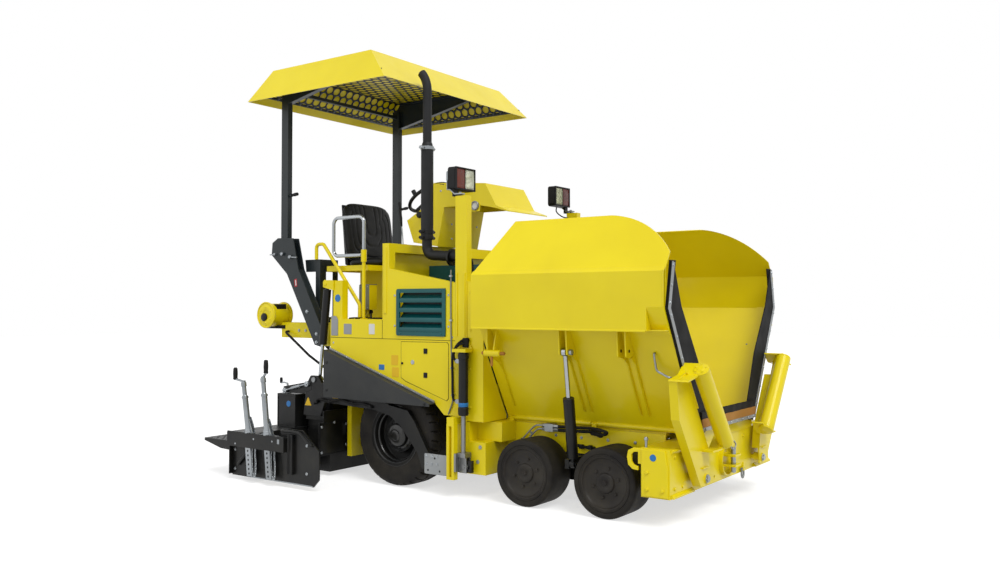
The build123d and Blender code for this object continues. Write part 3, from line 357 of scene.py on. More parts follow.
def bolts(places, axis, size=0.008, height=0.006):
    # a washer and a six-sided head at each place: rings of points scaled and stacked along the axis
    axis = unit(axis)
    scale = np.array([1.35, 1.35, 1.0, 1.0, 0.84])[:, None, None] * size
    lift = np.array([-0.002, 0.25, 0.25, 0.85, 1.0])[:, None, None] * height
    one = (circle(axis, 6) * scale + axis * lift).reshape(-1, 3)
    count = len(one)
    faces = gridFaces(5, 6, closeCols=True) + [list(range(6))[::-1], list(range(count - 6, count))]
    places = np.array(places, float).reshape(-1, 3)
    points = (places[:, None] + one).reshape(-1, 3)
    return points, [[k + count * n for k in face] for n in range(len(places)) for face in faces]


def hose(points, radius, sides=10, steps=8):
    return tube(smoothPath(points, steps), radius, sides)


def flatDisc(centre, radius, lift=0.0015, sides=36):
    # a thin disc whose edge falls back to the face that it lies on
    return turned([(0, -lift), (radius, -lift), (radius + 0.0005, 0), (radius + 0.0005, 0.001)], centre, sides=sides)


def darkHole(centre, radius):
    # a drilled hole as a black disc that just covers the face
    return turned([(0, 0.0002), (radius, 0.0002), (radius, -0.002), (0, -0.002)], centre, rightward, 18)


def mirrored(parts):
    # the left side's twin: Y changes its sign
    return [(np.asarray(points) * (1, -1, 1), faces) for points, faces in parts]


def cleanMesh(name, parts):
    # the parts' points one after another, each part's faces moved on by the points before it
    starts = np.cumsum([0] + [len(points) for points, _ in parts])
    faces = [[k + int(start) for k in face] for (_, own), start in zip(parts, starts) for face in own]
    mesh = bpy.data.meshes.new(name)
    mesh.from_pydata(np.vstack([points for points, _ in parts]).tolist(), [], faces)
    form = bmesh.new()
    form.from_mesh(mesh)
    bmesh.ops.remove_doubles(form, verts=form.verts, dist=2e-6)
    bmesh.ops.recalc_face_normals(form, faces=form.faces)
    form.to_mesh(mesh)
    form.free()
    return mesh


def makePiece(name, parts, finish, body="chassis", smooth=38, bevel=0.0, thick=0.0):
    mesh = cleanMesh(name, parts)
    mesh.materials.append(made[finish])
    mesh.polygons.foreach_set("use_smooth", [True] * len(mesh.polygons))
    mesh.set_sharp_from_angle(angle=radians(smooth))
    piece = bpy.data.objects.new(name, mesh)
    bpy.context.scene.collection.objects.link(piece)
    if thick:
        wall = piece.modifiers.new("wall", "SOLIDIFY")
        wall.thickness = thick
        wall.offset = 0
    if bevel:
        soft = piece.modifiers.new("soft", "BEVEL")
        soft.width = bevel
        soft.segments = 2
        soft.limit_method = "ANGLE"
        soft.angle_limit = radians(50)
        soft.harden_normals = True
    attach(piece, body)
    return piece


def bothSides(name, parts, finish, body="chassis", **more):
    # a right piece and its left twin on the two bodies, or on one body where it has no side
    pieces = []
    for side, own in (("right", parts), ("left", mirrored(parts))):
        pieces.append(makePiece(name + "_" + side, own, finish, body.replace("SIDE", side), **more))
    return pieces


def boltRow(name, places, axis, size, height, finish="zinc", body="chassis"):
    bothSides(name, [bolts(places, axis, size, height)], finish, body, smooth=30)


# roof: the punched sheet under the shell
liner = {"pitch": 0.072, "hole": 0.0295, "sheet": 0.0018, "low": (-1.718, -0.386, 0.828, 2.7),
         "high": (-1.554, -0.586, 0.74, 2.9132), "cut": 2.741, "fold": 0.022}


def punchedPanel(corners):
    # six-sided cells on a triangular lattice, each a ring from its outline to a round hole; the panel's edges cut them
    a, b, c, d = (np.array(corner) for corner in corners)
    alongRow = unit(b - a)
    normal = unit(np.cross(b - a, d - a))
    upRow = np.cross(normal, alongRow)
    pitch = liner["pitch"]
    rowPitch = pitch * 0.8660254
    sides = 12  # of each hole
    reach = max(np.dot(corner - a, alongRow) for corner in (b, c))
    height = np.dot(d - a, upRow)
    i, j = np.meshgrid(np.arange(-2, int(reach / pitch) + 3), np.arange(-1, int(height / rowPitch) + 3))
    s = (i + 0.5 * (j % 2)).ravel() * pitch
    t = j.ravel() * rowPitch
    turn = np.linspace(0, fullTurn, sides, endpoint=False)
    outer = pitch / 2 / np.cos((turn + np.pi / 6) % (np.pi / 3) - np.pi / 6)
    rings = np.stack([outer, np.full(sides, liner["hole"])])
    u = s[:, None, None] + rings * np.cos(turn)
    v = t[:, None, None] + rings * np.sin(turn)
    points = a + u[..., None] * alongRow + v[..., None] * upRow
    cell = np.array(gridFaces(2, sides, closeCols=True))
    faces = (np.arange(len(s))[:, None, None] * 2 * sides + cell).reshape(-1, 4).tolist()
    form = bmesh.new()
    mesh = bpy.data.meshes.new("panel")
    mesh.from_pydata(points.reshape(-1, 3).tolist(), [], faces)
    form.from_mesh(mesh)
    bmesh.ops.remove_doubles(form, verts=form.verts, dist=1e-4)
    middle = (a + b + c + d) / 4
    for start, end in ((a, b), (b, c), (c, d), (d, a)):
        outwards = np.cross(end - start, normal)
        if np.dot(outwards, middle - start) > 0:
            outwards = -outwards
        bmesh.ops.bisect_plane(form, geom=form.verts[:] + form.edges[:] + form.faces[:], plane_co=start.tolist(),
                               plane_no=outwards.tolist(), clear_outer=True)
    form.to_mesh(mesh)
    form.free()
    points = np.array([vertex.co[:] for vertex in mesh.vertices])
    faces = [list(face.vertices) for face in mesh.polygons]
    bpy.data.meshes.remove(mesh)
    return points, faces


def makeLiner():
    x0, x1, y, z = liner["low"]
    cx0, cx1, cy, cz = liner["high"]
    low = np.array([(x0, -y, z), (x1, -y, z), (x1, y, z), (x0, y, z)])
    high = np.array([(cx0, -cy, cz), (cx1, -cy, cz), (cx1, cy, cz), (cx0, cy, cz)])
    rise = (liner["cut"] - z) / (cz - z)
    low = low + (high - low) * rise  # the sheet starts above the shell's plain rim
    panels = [punchedPanel(high)]
    strips = []
    for k in range(4):
        m = (k + 1) % 4
        panels.append(punchedPanel((low[k], low[m], high[m], high[k])))
        inward = unit(high[k] + high[m] - low[k] - low[m]) * liner["fold"]  # a folded edge along the foot of each slope
        strips.append((np.array([low[k], low[m], low[m] + inward, low[k] + inward]), [[0, 1, 2, 3]]))
        toMiddle = unit((high[(k + 2) % 4] + high[(k + 3) % 4] - high[k] - high[m]) / 2) * 0.02
        strips.append((np.array([high[k], high[m], high[m] + toMiddle, high[k] + toMiddle]) - (0, 0, 0.0004),
                       [[0, 1, 2, 3]]))
    piece = makePiece("punchedLiner", panels, "dark_paint", "roof", smooth=20, thick=liner["sheet"])
    makePiece("linerFolds", strips, "dark_paint", "roof", smooth=20, thick=liner["sheet"])
    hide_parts("roof_liner")


makeLiner()
print("the roof's punched liner is made")


# seat: two crowned pads with sewn channels and a welt round each
seat = {"halfWidth": 0.262, "crown": 0.012, "seam": 0.006, "welt": 0.0045, "cushionMiddle": (-1.012, -0.08, 1.507),
        "backMiddle": (-1.2265, -0.08, 1.738), "backLean": (-0.1465, 0.9892)}


def padForm(half, up, down, channels, crown):
    # height above the middle sheet: one minus the ninth power of each distance from the middle, multiplied and
    # raised to the power 0.4, times the pad's thickness, less the seams
    count = 96
    t = np.sin(np.linspace(-1, 1, count) * np.pi / 2)
    s, w = np.meshgrid(t, t, indexing="ij")
    rim = np.clip((1 - np.abs(s) ** 9) * (1 - np.abs(w) ** 9), 0, 1) ** 0.4
    corner = np.maximum(np.abs(s), np.abs(w)) / (np.abs(s) ** 5 + np.abs(w) ** 5 + 1e-9) ** 0.2  # round corners in plan
    x = half[0] * s * corner * (1 - 0.022 * (1 - w ** 2) * np.abs(s) ** 6)  # the sides draw in between the corners
    y = half[1] * w * corner * (1 - 0.018 * (1 - s ** 2) * np.abs(w) ** 6)
    top = rim * (up - crown + crown * (1 - s ** 2) * (1 - w ** 2)) - channels(s, w) * rim
    low = -rim * down
    points = np.stack([np.stack([x, y, top], -1), np.stack([x, y, low], -1)]).reshape(-1, 3)
    faces = gridFaces(count, count)
    lower = [[k + count * count for k in face[::-1]] for face in faces]
    return points, faces + lower


def nestedSeams(s, w):
    # U-shaped seams: lines of equal distance, rounded at the lower end, one inside the other
    reach = (np.abs(w * 1.02) ** 3 + np.clip(0.35 - s, 0, 2) ** 3 * 0.16) ** (1 / 3)
    lines = sum(np.exp(-((reach - level) / 0.018) ** 2) for level in (0.22, 0.42, 0.62, 0.8))
    return seat["seam"] * lines * (np.abs(s) < 0.93)


def straightSeams(s, w):
    # channels that run forward, and one seam across near the front roll
    lines = sum(np.exp(-((w - level) / 0.016) ** 2) for level in (-0.62, -0.31, 0.0, 0.31, 0.62)) * (s < 0.62)
    return seat["seam"] * (lines + np.exp(-((s - 0.62) / 0.02) ** 2))


def weltPath(half, z):
    # the pad's outline as a rounded rectangle
    turn = np.linspace(0, fullTurn, 160, endpoint=False)
    c, s = np.cos(turn), np.sin(turn)
    reach = 0.985 / (np.abs(c) ** 5 + np.abs(s) ** 5) ** 0.2
    return np.stack([half[0] * c * reach, half[1] * s * reach, np.full(len(turn), z)], 1)


def makeSeat():
    cushionHalf = (0.218, seat["halfWidth"])
    backHalf = (0.234, seat["halfWidth"])
    cushion = padForm(cushionHalf, 0.047, 0.026, straightSeams, seat["crown"])
    cushionWelt = tube(weltPath(cushionHalf, 0.0), seat["welt"], sides=8, closed=True)
    middle = np.array(seat["cushionMiddle"])
    leanX, leanZ = seat["backLean"]
    turnBack = np.array([(leanX, 0, leanZ), (0, 1, 0), (leanZ, 0, -leanX)])  # rows: up the back, across, forward
    back = padForm(backHalf, 0.038, 0.036, nestedSeams, seat["crown"])
    backWelt = tube(weltPath(backHalf, 0.0), seat["welt"], sides=8, closed=True)
    cushionPiece = makePiece("seatCushion", [(cushion[0] + middle, cushion[1])], "vinyl", smooth=60)
    backPiece = makePiece("seatBack", [(back[0] @ turnBack + seat["backMiddle"], back[1])], "vinyl", smooth=60)
    makePiece("seatWelts",
              [(cushionWelt[0] + middle, cushionWelt[1]), (backWelt[0] @ turnBack + seat["backMiddle"], backWelt[1])],
              "vinyl", smooth=80)
    shell = [plate([(-1.262, 1.5), (-1.228, 1.488), (-1.292, 1.955), (-1.304, 1.955)], -0.3, 0.14)]
    makePiece("seatShell", shell, "black_plastic", bevel=0.006)
    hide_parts("seat")


makeSeat()
print("the seat is made")


# rear tyres: the section carried round, its tread cut by two zigzag grooves and by lug grooves at the shoulders
tyre = {"x": -0.405, "radius": 0.335, "middle": 0.575, "lugs": 34, "depth": 0.011, "steps": 612}
tyreSection = [(0.1997, 0.463), (0.208, 0.4575), (0.232, 0.453), (0.262, 0.4512), (0.29, 0.452), (0.309, 0.457),
               (0.322, 0.4665), (0.3295, 0.48), (0.333, 0.498), (0.3345, 0.52), (0.335, 0.548), (0.335, 0.575)]


def makeTyres():
    # radius at an angle: the section's radius less the depth where a zigzag groove or a lug groove crosses the tread
    half = np.array(tyreSection)
    outer = np.stack([half[::-1, 0], 2 * tyre["middle"] - half[::-1, 1]], 1)[1:]
    section = smoothPath(np.column_stack([np.vstack([half, outer]), np.zeros(2 * len(half) - 1)]), 5)[:, :2]
    radius, y = section.T
    angle = np.linspace(0, fullTurn, tyre["steps"], endpoint=False)[:, None]
    w = (y - tyre["middle"])[None]
    wave = np.abs((angle * tyre["lugs"] / fullTurn * 2) % 2 - 1) * 0.016 - 0.008
    zigzag = sum(1 / (1 + ((w - line - wave) / 0.0042) ** 6) for line in (-0.036, 0.036))
    step = (angle * tyre["lugs"] / fullTurn + np.where(w > 0, 0.5, 0.0) + np.abs(w) * 3.0) % 1
    lug = (1 / (1 + ((step - 0.5) / 0.075) ** 8)) * (np.abs(w) > 0.058)
    onTread = np.clip((radius[None] - 0.312) / 0.01, 0, 1)
    ribs = 0.0012 * sum(np.exp(-((radius[None] - level) / 0.0022) ** 2) for level in (0.236, 0.3))
    r = radius[None] - tyre["depth"] * np.clip(zigzag + lug, 0, 1) * onTread
    out = y[None] + np.sign(w) * ribs * (np.abs(w) > 0.1)
    points = np.stack([tyre["x"] + r * np.sin(angle), -np.broadcast_to(out, r.shape),
                       tyre["radius"] + r * np.cos(angle)], -1)
    shape = (points.reshape(-1, 3), gridFaces(tyre["steps"], len(y), closeRows=True, closeCols=True))
    for piece, side in zip(bothSides("treadedTyre", [shape], "tyre_rubber", "rear_wheel_SIDE", smooth=30),
                           ("right", "left")):
        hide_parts("rear_tyre_" + side)


makeTyres()

# rear wheel centres: hub cap, rim lips and nuts on the CAD rim
hub = {"place": (-0.405, 0.0, 0.335), "nutCircle": 0.097, "nuts": 8}


def ringOfPlaces(centre, radius, count, start=0.0):
    # points on a circle about Y: cosine along X, sine along Z
    turn = np.arange(count) / count * fullTurn + start
    return np.array(centre) + np.stack([radius * np.cos(turn), 0 * turn, radius * np.sin(turn)], 1)


def makeHubs():
    x, _, z = hub["place"]
    cap = turned([(0, -0.6905), (0.022, -0.6905), (0.033, -0.688), (0.037, -0.683), (0.052, -0.682), (0.068, -0.677),
                  (0.077, -0.668), (0.08, -0.656), (0.081, -0.641), (0.11, -0.6405)], (x, 0, z), sides=56)
    flange = turned([(0.108, -0.64), (0.108, -0.644), (0.114, -0.644), (0.116, -0.64)], (x, 0, z), closed=True,
                    sides=56)
    rimLip = turned([(0.178, -0.688), (0.199, -0.6885), (0.2035, -0.691), (0.2035, -0.694), (0.198, -0.695),
                     (0.186, -0.69)], (x, 0, z), closed=True, sides=72)
    step = turned([(0.16, -0.655), (0.166, -0.657), (0.17, -0.662), (0.168, -0.668), (0.162, -0.662)], (x, 0, z),
                  closed=True, sides=72)
    bothSides("hubCap", [cap, flange, rimLip, step], "rimBlack", "rear_wheel_SIDE")
    nuts = ringOfPlaces((x, -0.641, z), hub["nutCircle"], hub["nuts"])
    boltRow("hubNuts", nuts, rightward, 0.0085, 0.01, "rimBlack", "rear_wheel_SIDE")


makeHubs()

# front wheels: solid rubber with rounded shoulders on a dished disc with a raised boss
frontWheel = {"radius": 0.2, "face": -0.6945, "places": {"rear": 0.64, "fore": 1.18}}


def makeFrontWheels():
    z = frontWheel["radius"]
    rubber = [(0.149, 0.502), (0.176, 0.5), (0.189, 0.5015), (0.1965, 0.506), (0.1995, 0.515), (0.2, 0.535),
              (0.2, 0.61), (0.2, 0.685), (0.1995, 0.704), (0.1965, 0.713), (0.19, 0.7185), (0.178, 0.7195),
              (0.166, 0.7185), (0.163, 0.715), (0.16, 0.7185), (0.15, 0.7165)]
    disc = [(0.1495, 0.504), (0.152, 0.714), (0.149, 0.7155), (0.143, 0.713), (0.139, 0.704), (0.128, 0.697),
            (0.104, 0.6945), (0.064, 0.6945), (0.058, 0.697), (0.0555, 0.706), (0.051, 0.71), (0.034, 0.7115),
            (0.029, 0.7085), (0.0, 0.7085), (0.0, 0.69), (0.07, 0.688), (0.136, 0.69), (0.144, 0.66), (0.144, 0.504)]
    for word, x in frontWheel["places"].items():
        body = "front_wheel_SIDE_" + word
        rubberRing = turned([(r, -y) for r, y in rubber], (x, 0, z), sides=96, closed=True)
        discForm = turned([(r, -y) for r, y in disc], (x, 0, z), sides=72)
        nuts = bolts(ringOfPlaces((x, frontWheel["face"], z), 0.084, 6, 0.3), rightward, 0.0085, 0.008)
        nose = bolts([(x, frontWheel["face"] - 0.014, z)], rightward, 0.013, 0.007)
        for piece, side in zip(bothSides("solidTyre_" + word, [rubberRing], "tyre_rubber", body), ("right", "left")):
            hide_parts("front_wheel_" + side + "_" + word)
        bothSides("wheelDisc_" + word, [discForm], "wheelPaint", body)
        bothSides("wheelNuts_" + word, [nuts, nose], "wheelPaint", body, smooth=30)


makeFrontWheels()
print("the wheels are made")

# lamps: an amber outer glass and a clear inner one with flutes, in a black frame, on a zinc bracket
lamp = {"front": 0.1062, "outer": -0.687, "split": -0.596, "inner": -0.5, "low": 1.941, "high": 2.068, "bulge": 0.007}


def lampGlass(y0, y1, flutes, depth):
    # a bulged sheet: the bulge falls to nothing at the rim, and cosine flutes run down it
    s, t = np.meshgrid(np.linspace(-1, 1, 49), np.linspace(-1, 1, 41), indexing="ij")
    rim = np.clip((1 - np.abs(s) ** 8) * (1 - np.abs(t) ** 8), 0, 1) ** 0.5
    x = lamp["front"] + rim * (lamp["bulge"] * (1 - 0.4 * s ** 2 - 0.4 * t ** 2) + depth * np.cos(s * np.pi * flutes))
    y = (y0 + y1) / 2 + s * (y1 - y0) / 2
    z = (lamp["low"] + lamp["high"]) / 2 + t * (lamp["high"] - lamp["low"]) / 2
    points = np.stack([x, y, z], -1).reshape(-1, 3)
    back = points * (0, 1, 1) + (lamp["front"] - 0.003, 0, 0)
    count = len(points)
    faces = gridFaces(49, 41)
    return np.vstack([points, back]), faces + [[k + count for k in face[::-1]] for face in faces]


def makeLamps():
    z0, z1 = lamp["low"], lamp["high"]
    bothSides("amberGlass", [lampGlass(lamp["outer"], lamp["split"] - 0.002, 6, 0.0006)], "amberGlass")
    bothSides("clearGlass", [lampGlass(lamp["split"] + 0.002, lamp["inner"], 7, 0.0024)], "clearGlass")
    bars = [(0.114, -0.695, -0.686, z0 - 0.006, z1 + 0.006), (0.114, -0.501, -0.492, z0 - 0.006, z1 + 0.006),
            (0.114, -0.695, -0.492, z0 - 0.009, z0), (0.114, -0.695, -0.492, z1, z1 + 0.009),
            (0.111, -0.598, -0.594, z0, z1)]
    frameBars = boxes(*[(lamp["front"] - 0.0072, *bar) for bar in bars])
    bothSides("lampFrame", [frameBars], "black_plastic", bevel=0.002)
    bracket = [plate([(0.152, 1.896), (0.152, 1.905), (0.1, 1.905), (0.06, 1.935), (0.04, 1.935), (0.04, 2.05),
                      (0.035, 2.05), (0.035, 1.93), (0.058, 1.93), (0.098, 1.896)], -0.697, -0.655),
               boxes((0.034, 0.046, -0.7, -0.62, 1.99, 2.045))]
    bothSides("lampBracket", bracket, "zinc", bevel=0.0012)
    bothSides("lampBolts", [bolts([(0.13, -0.676, 1.905)], upward, 0.008, 0.008),
                            bolts([(0.0335, -0.66, 2.02), (0.0335, -0.66, 1.965)], backward, 0.006, 0.006)],
              "zinc", smooth=30)
    lead = [(0.06, -0.6, 1.95), (0.05, -0.6, 1.9), (0.09, -0.615, 1.86), (0.14, -0.64, 1.84), (0.155, -0.649, 1.8)]
    bothSides("lampLead", [hose(lead, 0.0045, 8)], "black_rubber")


makeLamps()

# console: round gauge, screws, rows of buttons and toggles, lever and knob
console = {"face": -0.305, "front": -0.3, "gauge": (-0.028, 1.868), "gaugeRadius": 0.032}


def makeConsole():
    face, front, r = console["face"], console["front"], console["gaugeRadius"]
    x, z = console["gauge"]
    rim = turned([(r, -0.004), (r, 0.01), (r - 0.003, 0.013), (r - 0.008, 0.013), (r - 0.01, 0.006),
                  (r - 0.01, -0.004)], (x, face - 0.003, z), rightward, closed=True)
    tab = plate(roundedOutline(x - r - 0.01, x + r + 0.008, z - r - 0.008, z + 0.03, 0.012),
                face - 0.003, face - 0.0002)
    makePiece("gaugeTab", [tab], "lemon_paint", bevel=0.001)
    makePiece("gaugeRim", [rim], "greyPlate")
    dial = turned([(0, 0.008), (r - 0.009, 0.006), (r - 0.009, 0.0), (0, 0.0)], (x, face - 0.003, z), rightward)
    makePiece("gaugeFace", [dial], "whitePlate")
    screws = [bolts([(x, face, z) for x, z in ((-0.45, 1.8), (-0.33, 1.99), (-0.42, 1.66))], rightward, 0.006, 0.004),
              bolts([(front, y, z) for y, z in ((0.071, 1.762), (-0.22, 1.762), (-0.22, 1.66))], forward, 0.006, 0.004)]
    makePiece("consoleScrews", screws, "zinc", smooth=30)
    # the board that faces the driver: rows of capped buttons and toggles, placed down its slope
    top, foot = np.array((-0.4005, 0, 2.05)), np.array((-0.5095, 0, 1.871))
    slope = unit(foot - top)
    out = np.cross(slope, (0, 1, 0))
    out = out if out[0] < 0 else -out
    middle = (top + foot) / 2
    across, down = np.meshgrid(np.linspace(-0.26, 0.115, 7), (-0.05, 0.0, 0.05), indexing="ij")
    places = middle + across.ravel()[:, None] * np.array((0, 1, 0)) + down.ravel()[:, None] * slope
    buttons = [turned([(0.013, 0), (0.013, 0.004), (0.01, 0.006), (0.01, 0.011), (0.008, 0.0125), (0, 0.0125)],
                      place, out, 20) for place in places[::2]]
    makePiece("consoleButtons", buttons, "black_plastic")
    caps = [turned([(0.0075, 0), (0.0075, 0.01), (0.004, 0.026), (0.005, 0.032), (0, 0.034)], place, out, 16)
            for place in places[1::2]]
    makePiece("consoleToggles", caps, "redPlate")
    lever = hose([(-0.478, -0.53, 1.602), (-0.482, -0.53, 1.66), (-0.492, -0.53, 1.74)], 0.004)
    grip = tube([(-0.491, -0.53, 1.735), (-0.497, -0.53, 1.79), (-0.508, -0.53, 1.86), (-0.514, -0.53, 1.895),
                 (-0.515, -0.53, 1.903)], (0.006, 0.009, 0.009, 0.0085, 0.004), 14)
    makePiece("leverRod", [lever], "zinc")
    makePiece("leverGrip", [grip], "black_rubber")
    base = boxes((-0.5, -0.456, -0.548, -0.512, 1.598, 1.612))
    makePiece("leverBase", [base], "black_paint", bevel=0.003)
    knob = turned([(0.012, 0.0), (0.012, -0.012), (0.022, -0.018), (0.024, -0.032), (0.018, -0.042), (0, -0.045)],
                  (-0.5, -0.305, 1.83))
    makePiece("consoleKnob", [knob], "black_plastic")


makeConsole()

# exhaust: clamps round the stack and at the elbow
stack = {"x": -0.29, "y": -0.5,
         "clamps": ((2.256, 0.046, "zinc"), (1.69, 0.047, "black_paint"), (1.65, 0.047, "black_paint"))}


def makeExhaustClamps():
    x, y = stack["x"], stack["y"]
    for number, (z, r, finish) in enumerate(stack["clamps"]):
        band = turned([(r - 0.005, -0.011), (r, -0.011), (r + 0.001, 0), (r, 0.011), (r - 0.005, 0.011)], (x, y, z),
                      upward, closed=True)
        ears = boxes((x - 0.008, x + 0.008, y - r - 0.026, y - r + 0.003, z - 0.01, z + 0.01),
                     (x - 0.008, x + 0.008, y + r - 0.003, y + r + 0.024, z - 0.01, z + 0.01))
        screws = bolts([(x + 0.008, y - r - 0.015, z), (x + 0.008, y + r + 0.014, z)], forward, 0.007, 0.01)
        tail = bolts([(x - 0.008, y - r - 0.015, z), (x - 0.008, y + r + 0.014, z)], backward, 0.007, 0.01)
        makePiece("stackClamp%d" % number, [band, ears, screws, tail], finish)
    taper = turned([(0.0425, 2.236), (0.041, 2.262), (0.034, 2.29), (0.0305, 2.296)], (x, y, 0), upward)
    makePiece("stackTaper", [taper], "exhaustBlack")
    flange = tube([(-0.085, y, 1.5105), (-0.07, y, 1.5105)], 0.056, 28)
    makePiece("elbowFlange", [flange], "black_paint", bevel=0.002)


makeExhaustClamps()

# roof posts and arms: clamping handles, lock pins with their heads, and a bare plate
roofArm = {"plate": (-1.417, 1.358), "face": -0.644, "handleY": -0.613}


def makeRoofArms():
    face = roofArm["face"]
    y = roofArm["handleY"]
    handle = [tube([(-1.524, y, 2.01), (-1.5, y, 2.01)], 0.006, 12),
              tube([(-1.502, y, 2.01), (-1.49, y, 2.011), (-1.462, y, 2.014), (-1.44, y, 2.016), (-1.436, y, 2.016)],
                   (0.008, 0.0105, 0.0135, 0.012, 0.005), 16)]
    bothSides("postHandle", handle, "black_plastic", "roof")
    head = [(0.0, -0.016), (0.011, -0.016), (0.0135, -0.012), (0.0135, -0.004), (0.009, -0.001), (0.009, 0.002)]
    pins = [turned(head, (x, face - 0.006, z)) for x, z in ((-1.47, 1.55), (-1.557, 1.575))]
    pins += [tube([(x0, face - 0.01, z0), (x1, face - 0.012, z1)], 0.0045, 10)
             for x0, z0, x1, z1 in ((-1.4, 1.545, -1.455, 1.548), (-1.69, 1.572, -1.64, 1.575))]
    pins.append(turned([(0, -0.01), (0.009, -0.01), (0.009, 0.006), (0, 0.006)], (-1.64, face - 0.006, 1.575)))
    pins.append(bolts([(-1.2, face, 0.99), (-1.2, face, 0.93), (-1.3, face, 1.15)], rightward, 0.01, 0.008))
    bothSides("armPins", pins, "zinc", smooth=30)
    x, z = roofArm["plate"]
    lean = np.array([(-0.012, -0.03), (0.014, -0.024), (0.008, 0.032), (-0.018, 0.026)]) + (x, z)
    stripe = np.array([(-0.003, -0.02), (0.006, -0.018), (0.001, 0.022), (-0.008, 0.02)]) + (x, z)
    bothSides("armPlate", [plate(lean, face - 0.0012, face)], "redPlate")
    bothSides("armPlateStripe", [plate(stripe, face - 0.0018, face - 0.001)], "whitePlate")


makeRoofArms()

# hose reel: end covers with a rolled rim and bolts, nozzle slot, rubber-covered rail and bolts on its beam
reel = {"place": (-1.722, 0, 1.122), "near": -0.662, "far": -0.488}


def makeReel():
    x, _, z = reel["place"]
    near = reel["near"]
    rolled = ((0.095, 0.012), (0.098, 0.006), (0.098, -0.003), (0.092, -0.005), (0.088, 0.0))
    rim = turned([(r, near + d) for r, d in rolled], (x, 0, z), closed=True, sides=64)
    far = turned([(r, reel["far"] - d) for r, d in rolled], (x, 0, z), closed=True, sides=64)
    web = turned([(0.08, near - 0.0005), (0.07, near - 0.004), (0.045, near - 0.005), (0.036, near - 0.002)], (x, 0, z),
                 sides=64)
    lugs = bolts(ringOfPlaces((x, near - 0.004, z), 0.058, 6, 0.5), rightward, 0.006, 0.004)
    makePiece("reelCovers", [rim, far, web, lugs], "lemon_paint")
    cap = turned([(0.03, near), (0.03, near - 0.01), (0.022, near - 0.016), (0, near - 0.016)],
                 (x - 0.016, 0, z - 0.016))
    makePiece("reelHub", [cap], "black_paint")
    slot = boxes((x + 0.022, x + 0.075, -0.62, -0.53, 1.165, 1.2045))
    makePiece("reelSlot", [slot], "black_plastic", bevel=0.004)
    rail = boxes((-1.815, -1.6, -0.585, -0.565, 1.02, 1.046))
    makePiece("reelRail", [rail], "black_rubber", bevel=0.004)
    straps = bolts([(x, -0.5805, 1.01) for x in (-1.45, -1.38, -1.1)], rightward, 0.009, 0.007)
    makePiece("beamBolts", [straps], "zinc", smooth=30)


makeReel()
print("the upper pieces are made")

# body side: hatch with latches and lock, plates left bare, dark strips painted as the shadow in the seams, conduit,
# edge strip and lift bracket disc
bodySide = {"face": -0.7, "plateLift": 0.0012, "latches": (0.9, 0.745), "strip": (-0.998, -0.055)}
barePlates = (("greyPlate", (-0.869, -0.795, 0.996, 1.068)), ("whitePlate", (-0.632, -0.58, 1.0, 1.07)),
              ("orangePlate", (-0.428, -0.368, 0.8, 0.866)), ("orangePlate", (-0.421, -0.361, 0.722, 0.786)),
              ("blueDisc", (-0.54, -0.49, 0.764, 0.8)))


def fenderTop(x):
    # the fender's upper edge: a straight line that falls towards the front
    return 0.888 - 0.33263 * (x + 1.0)


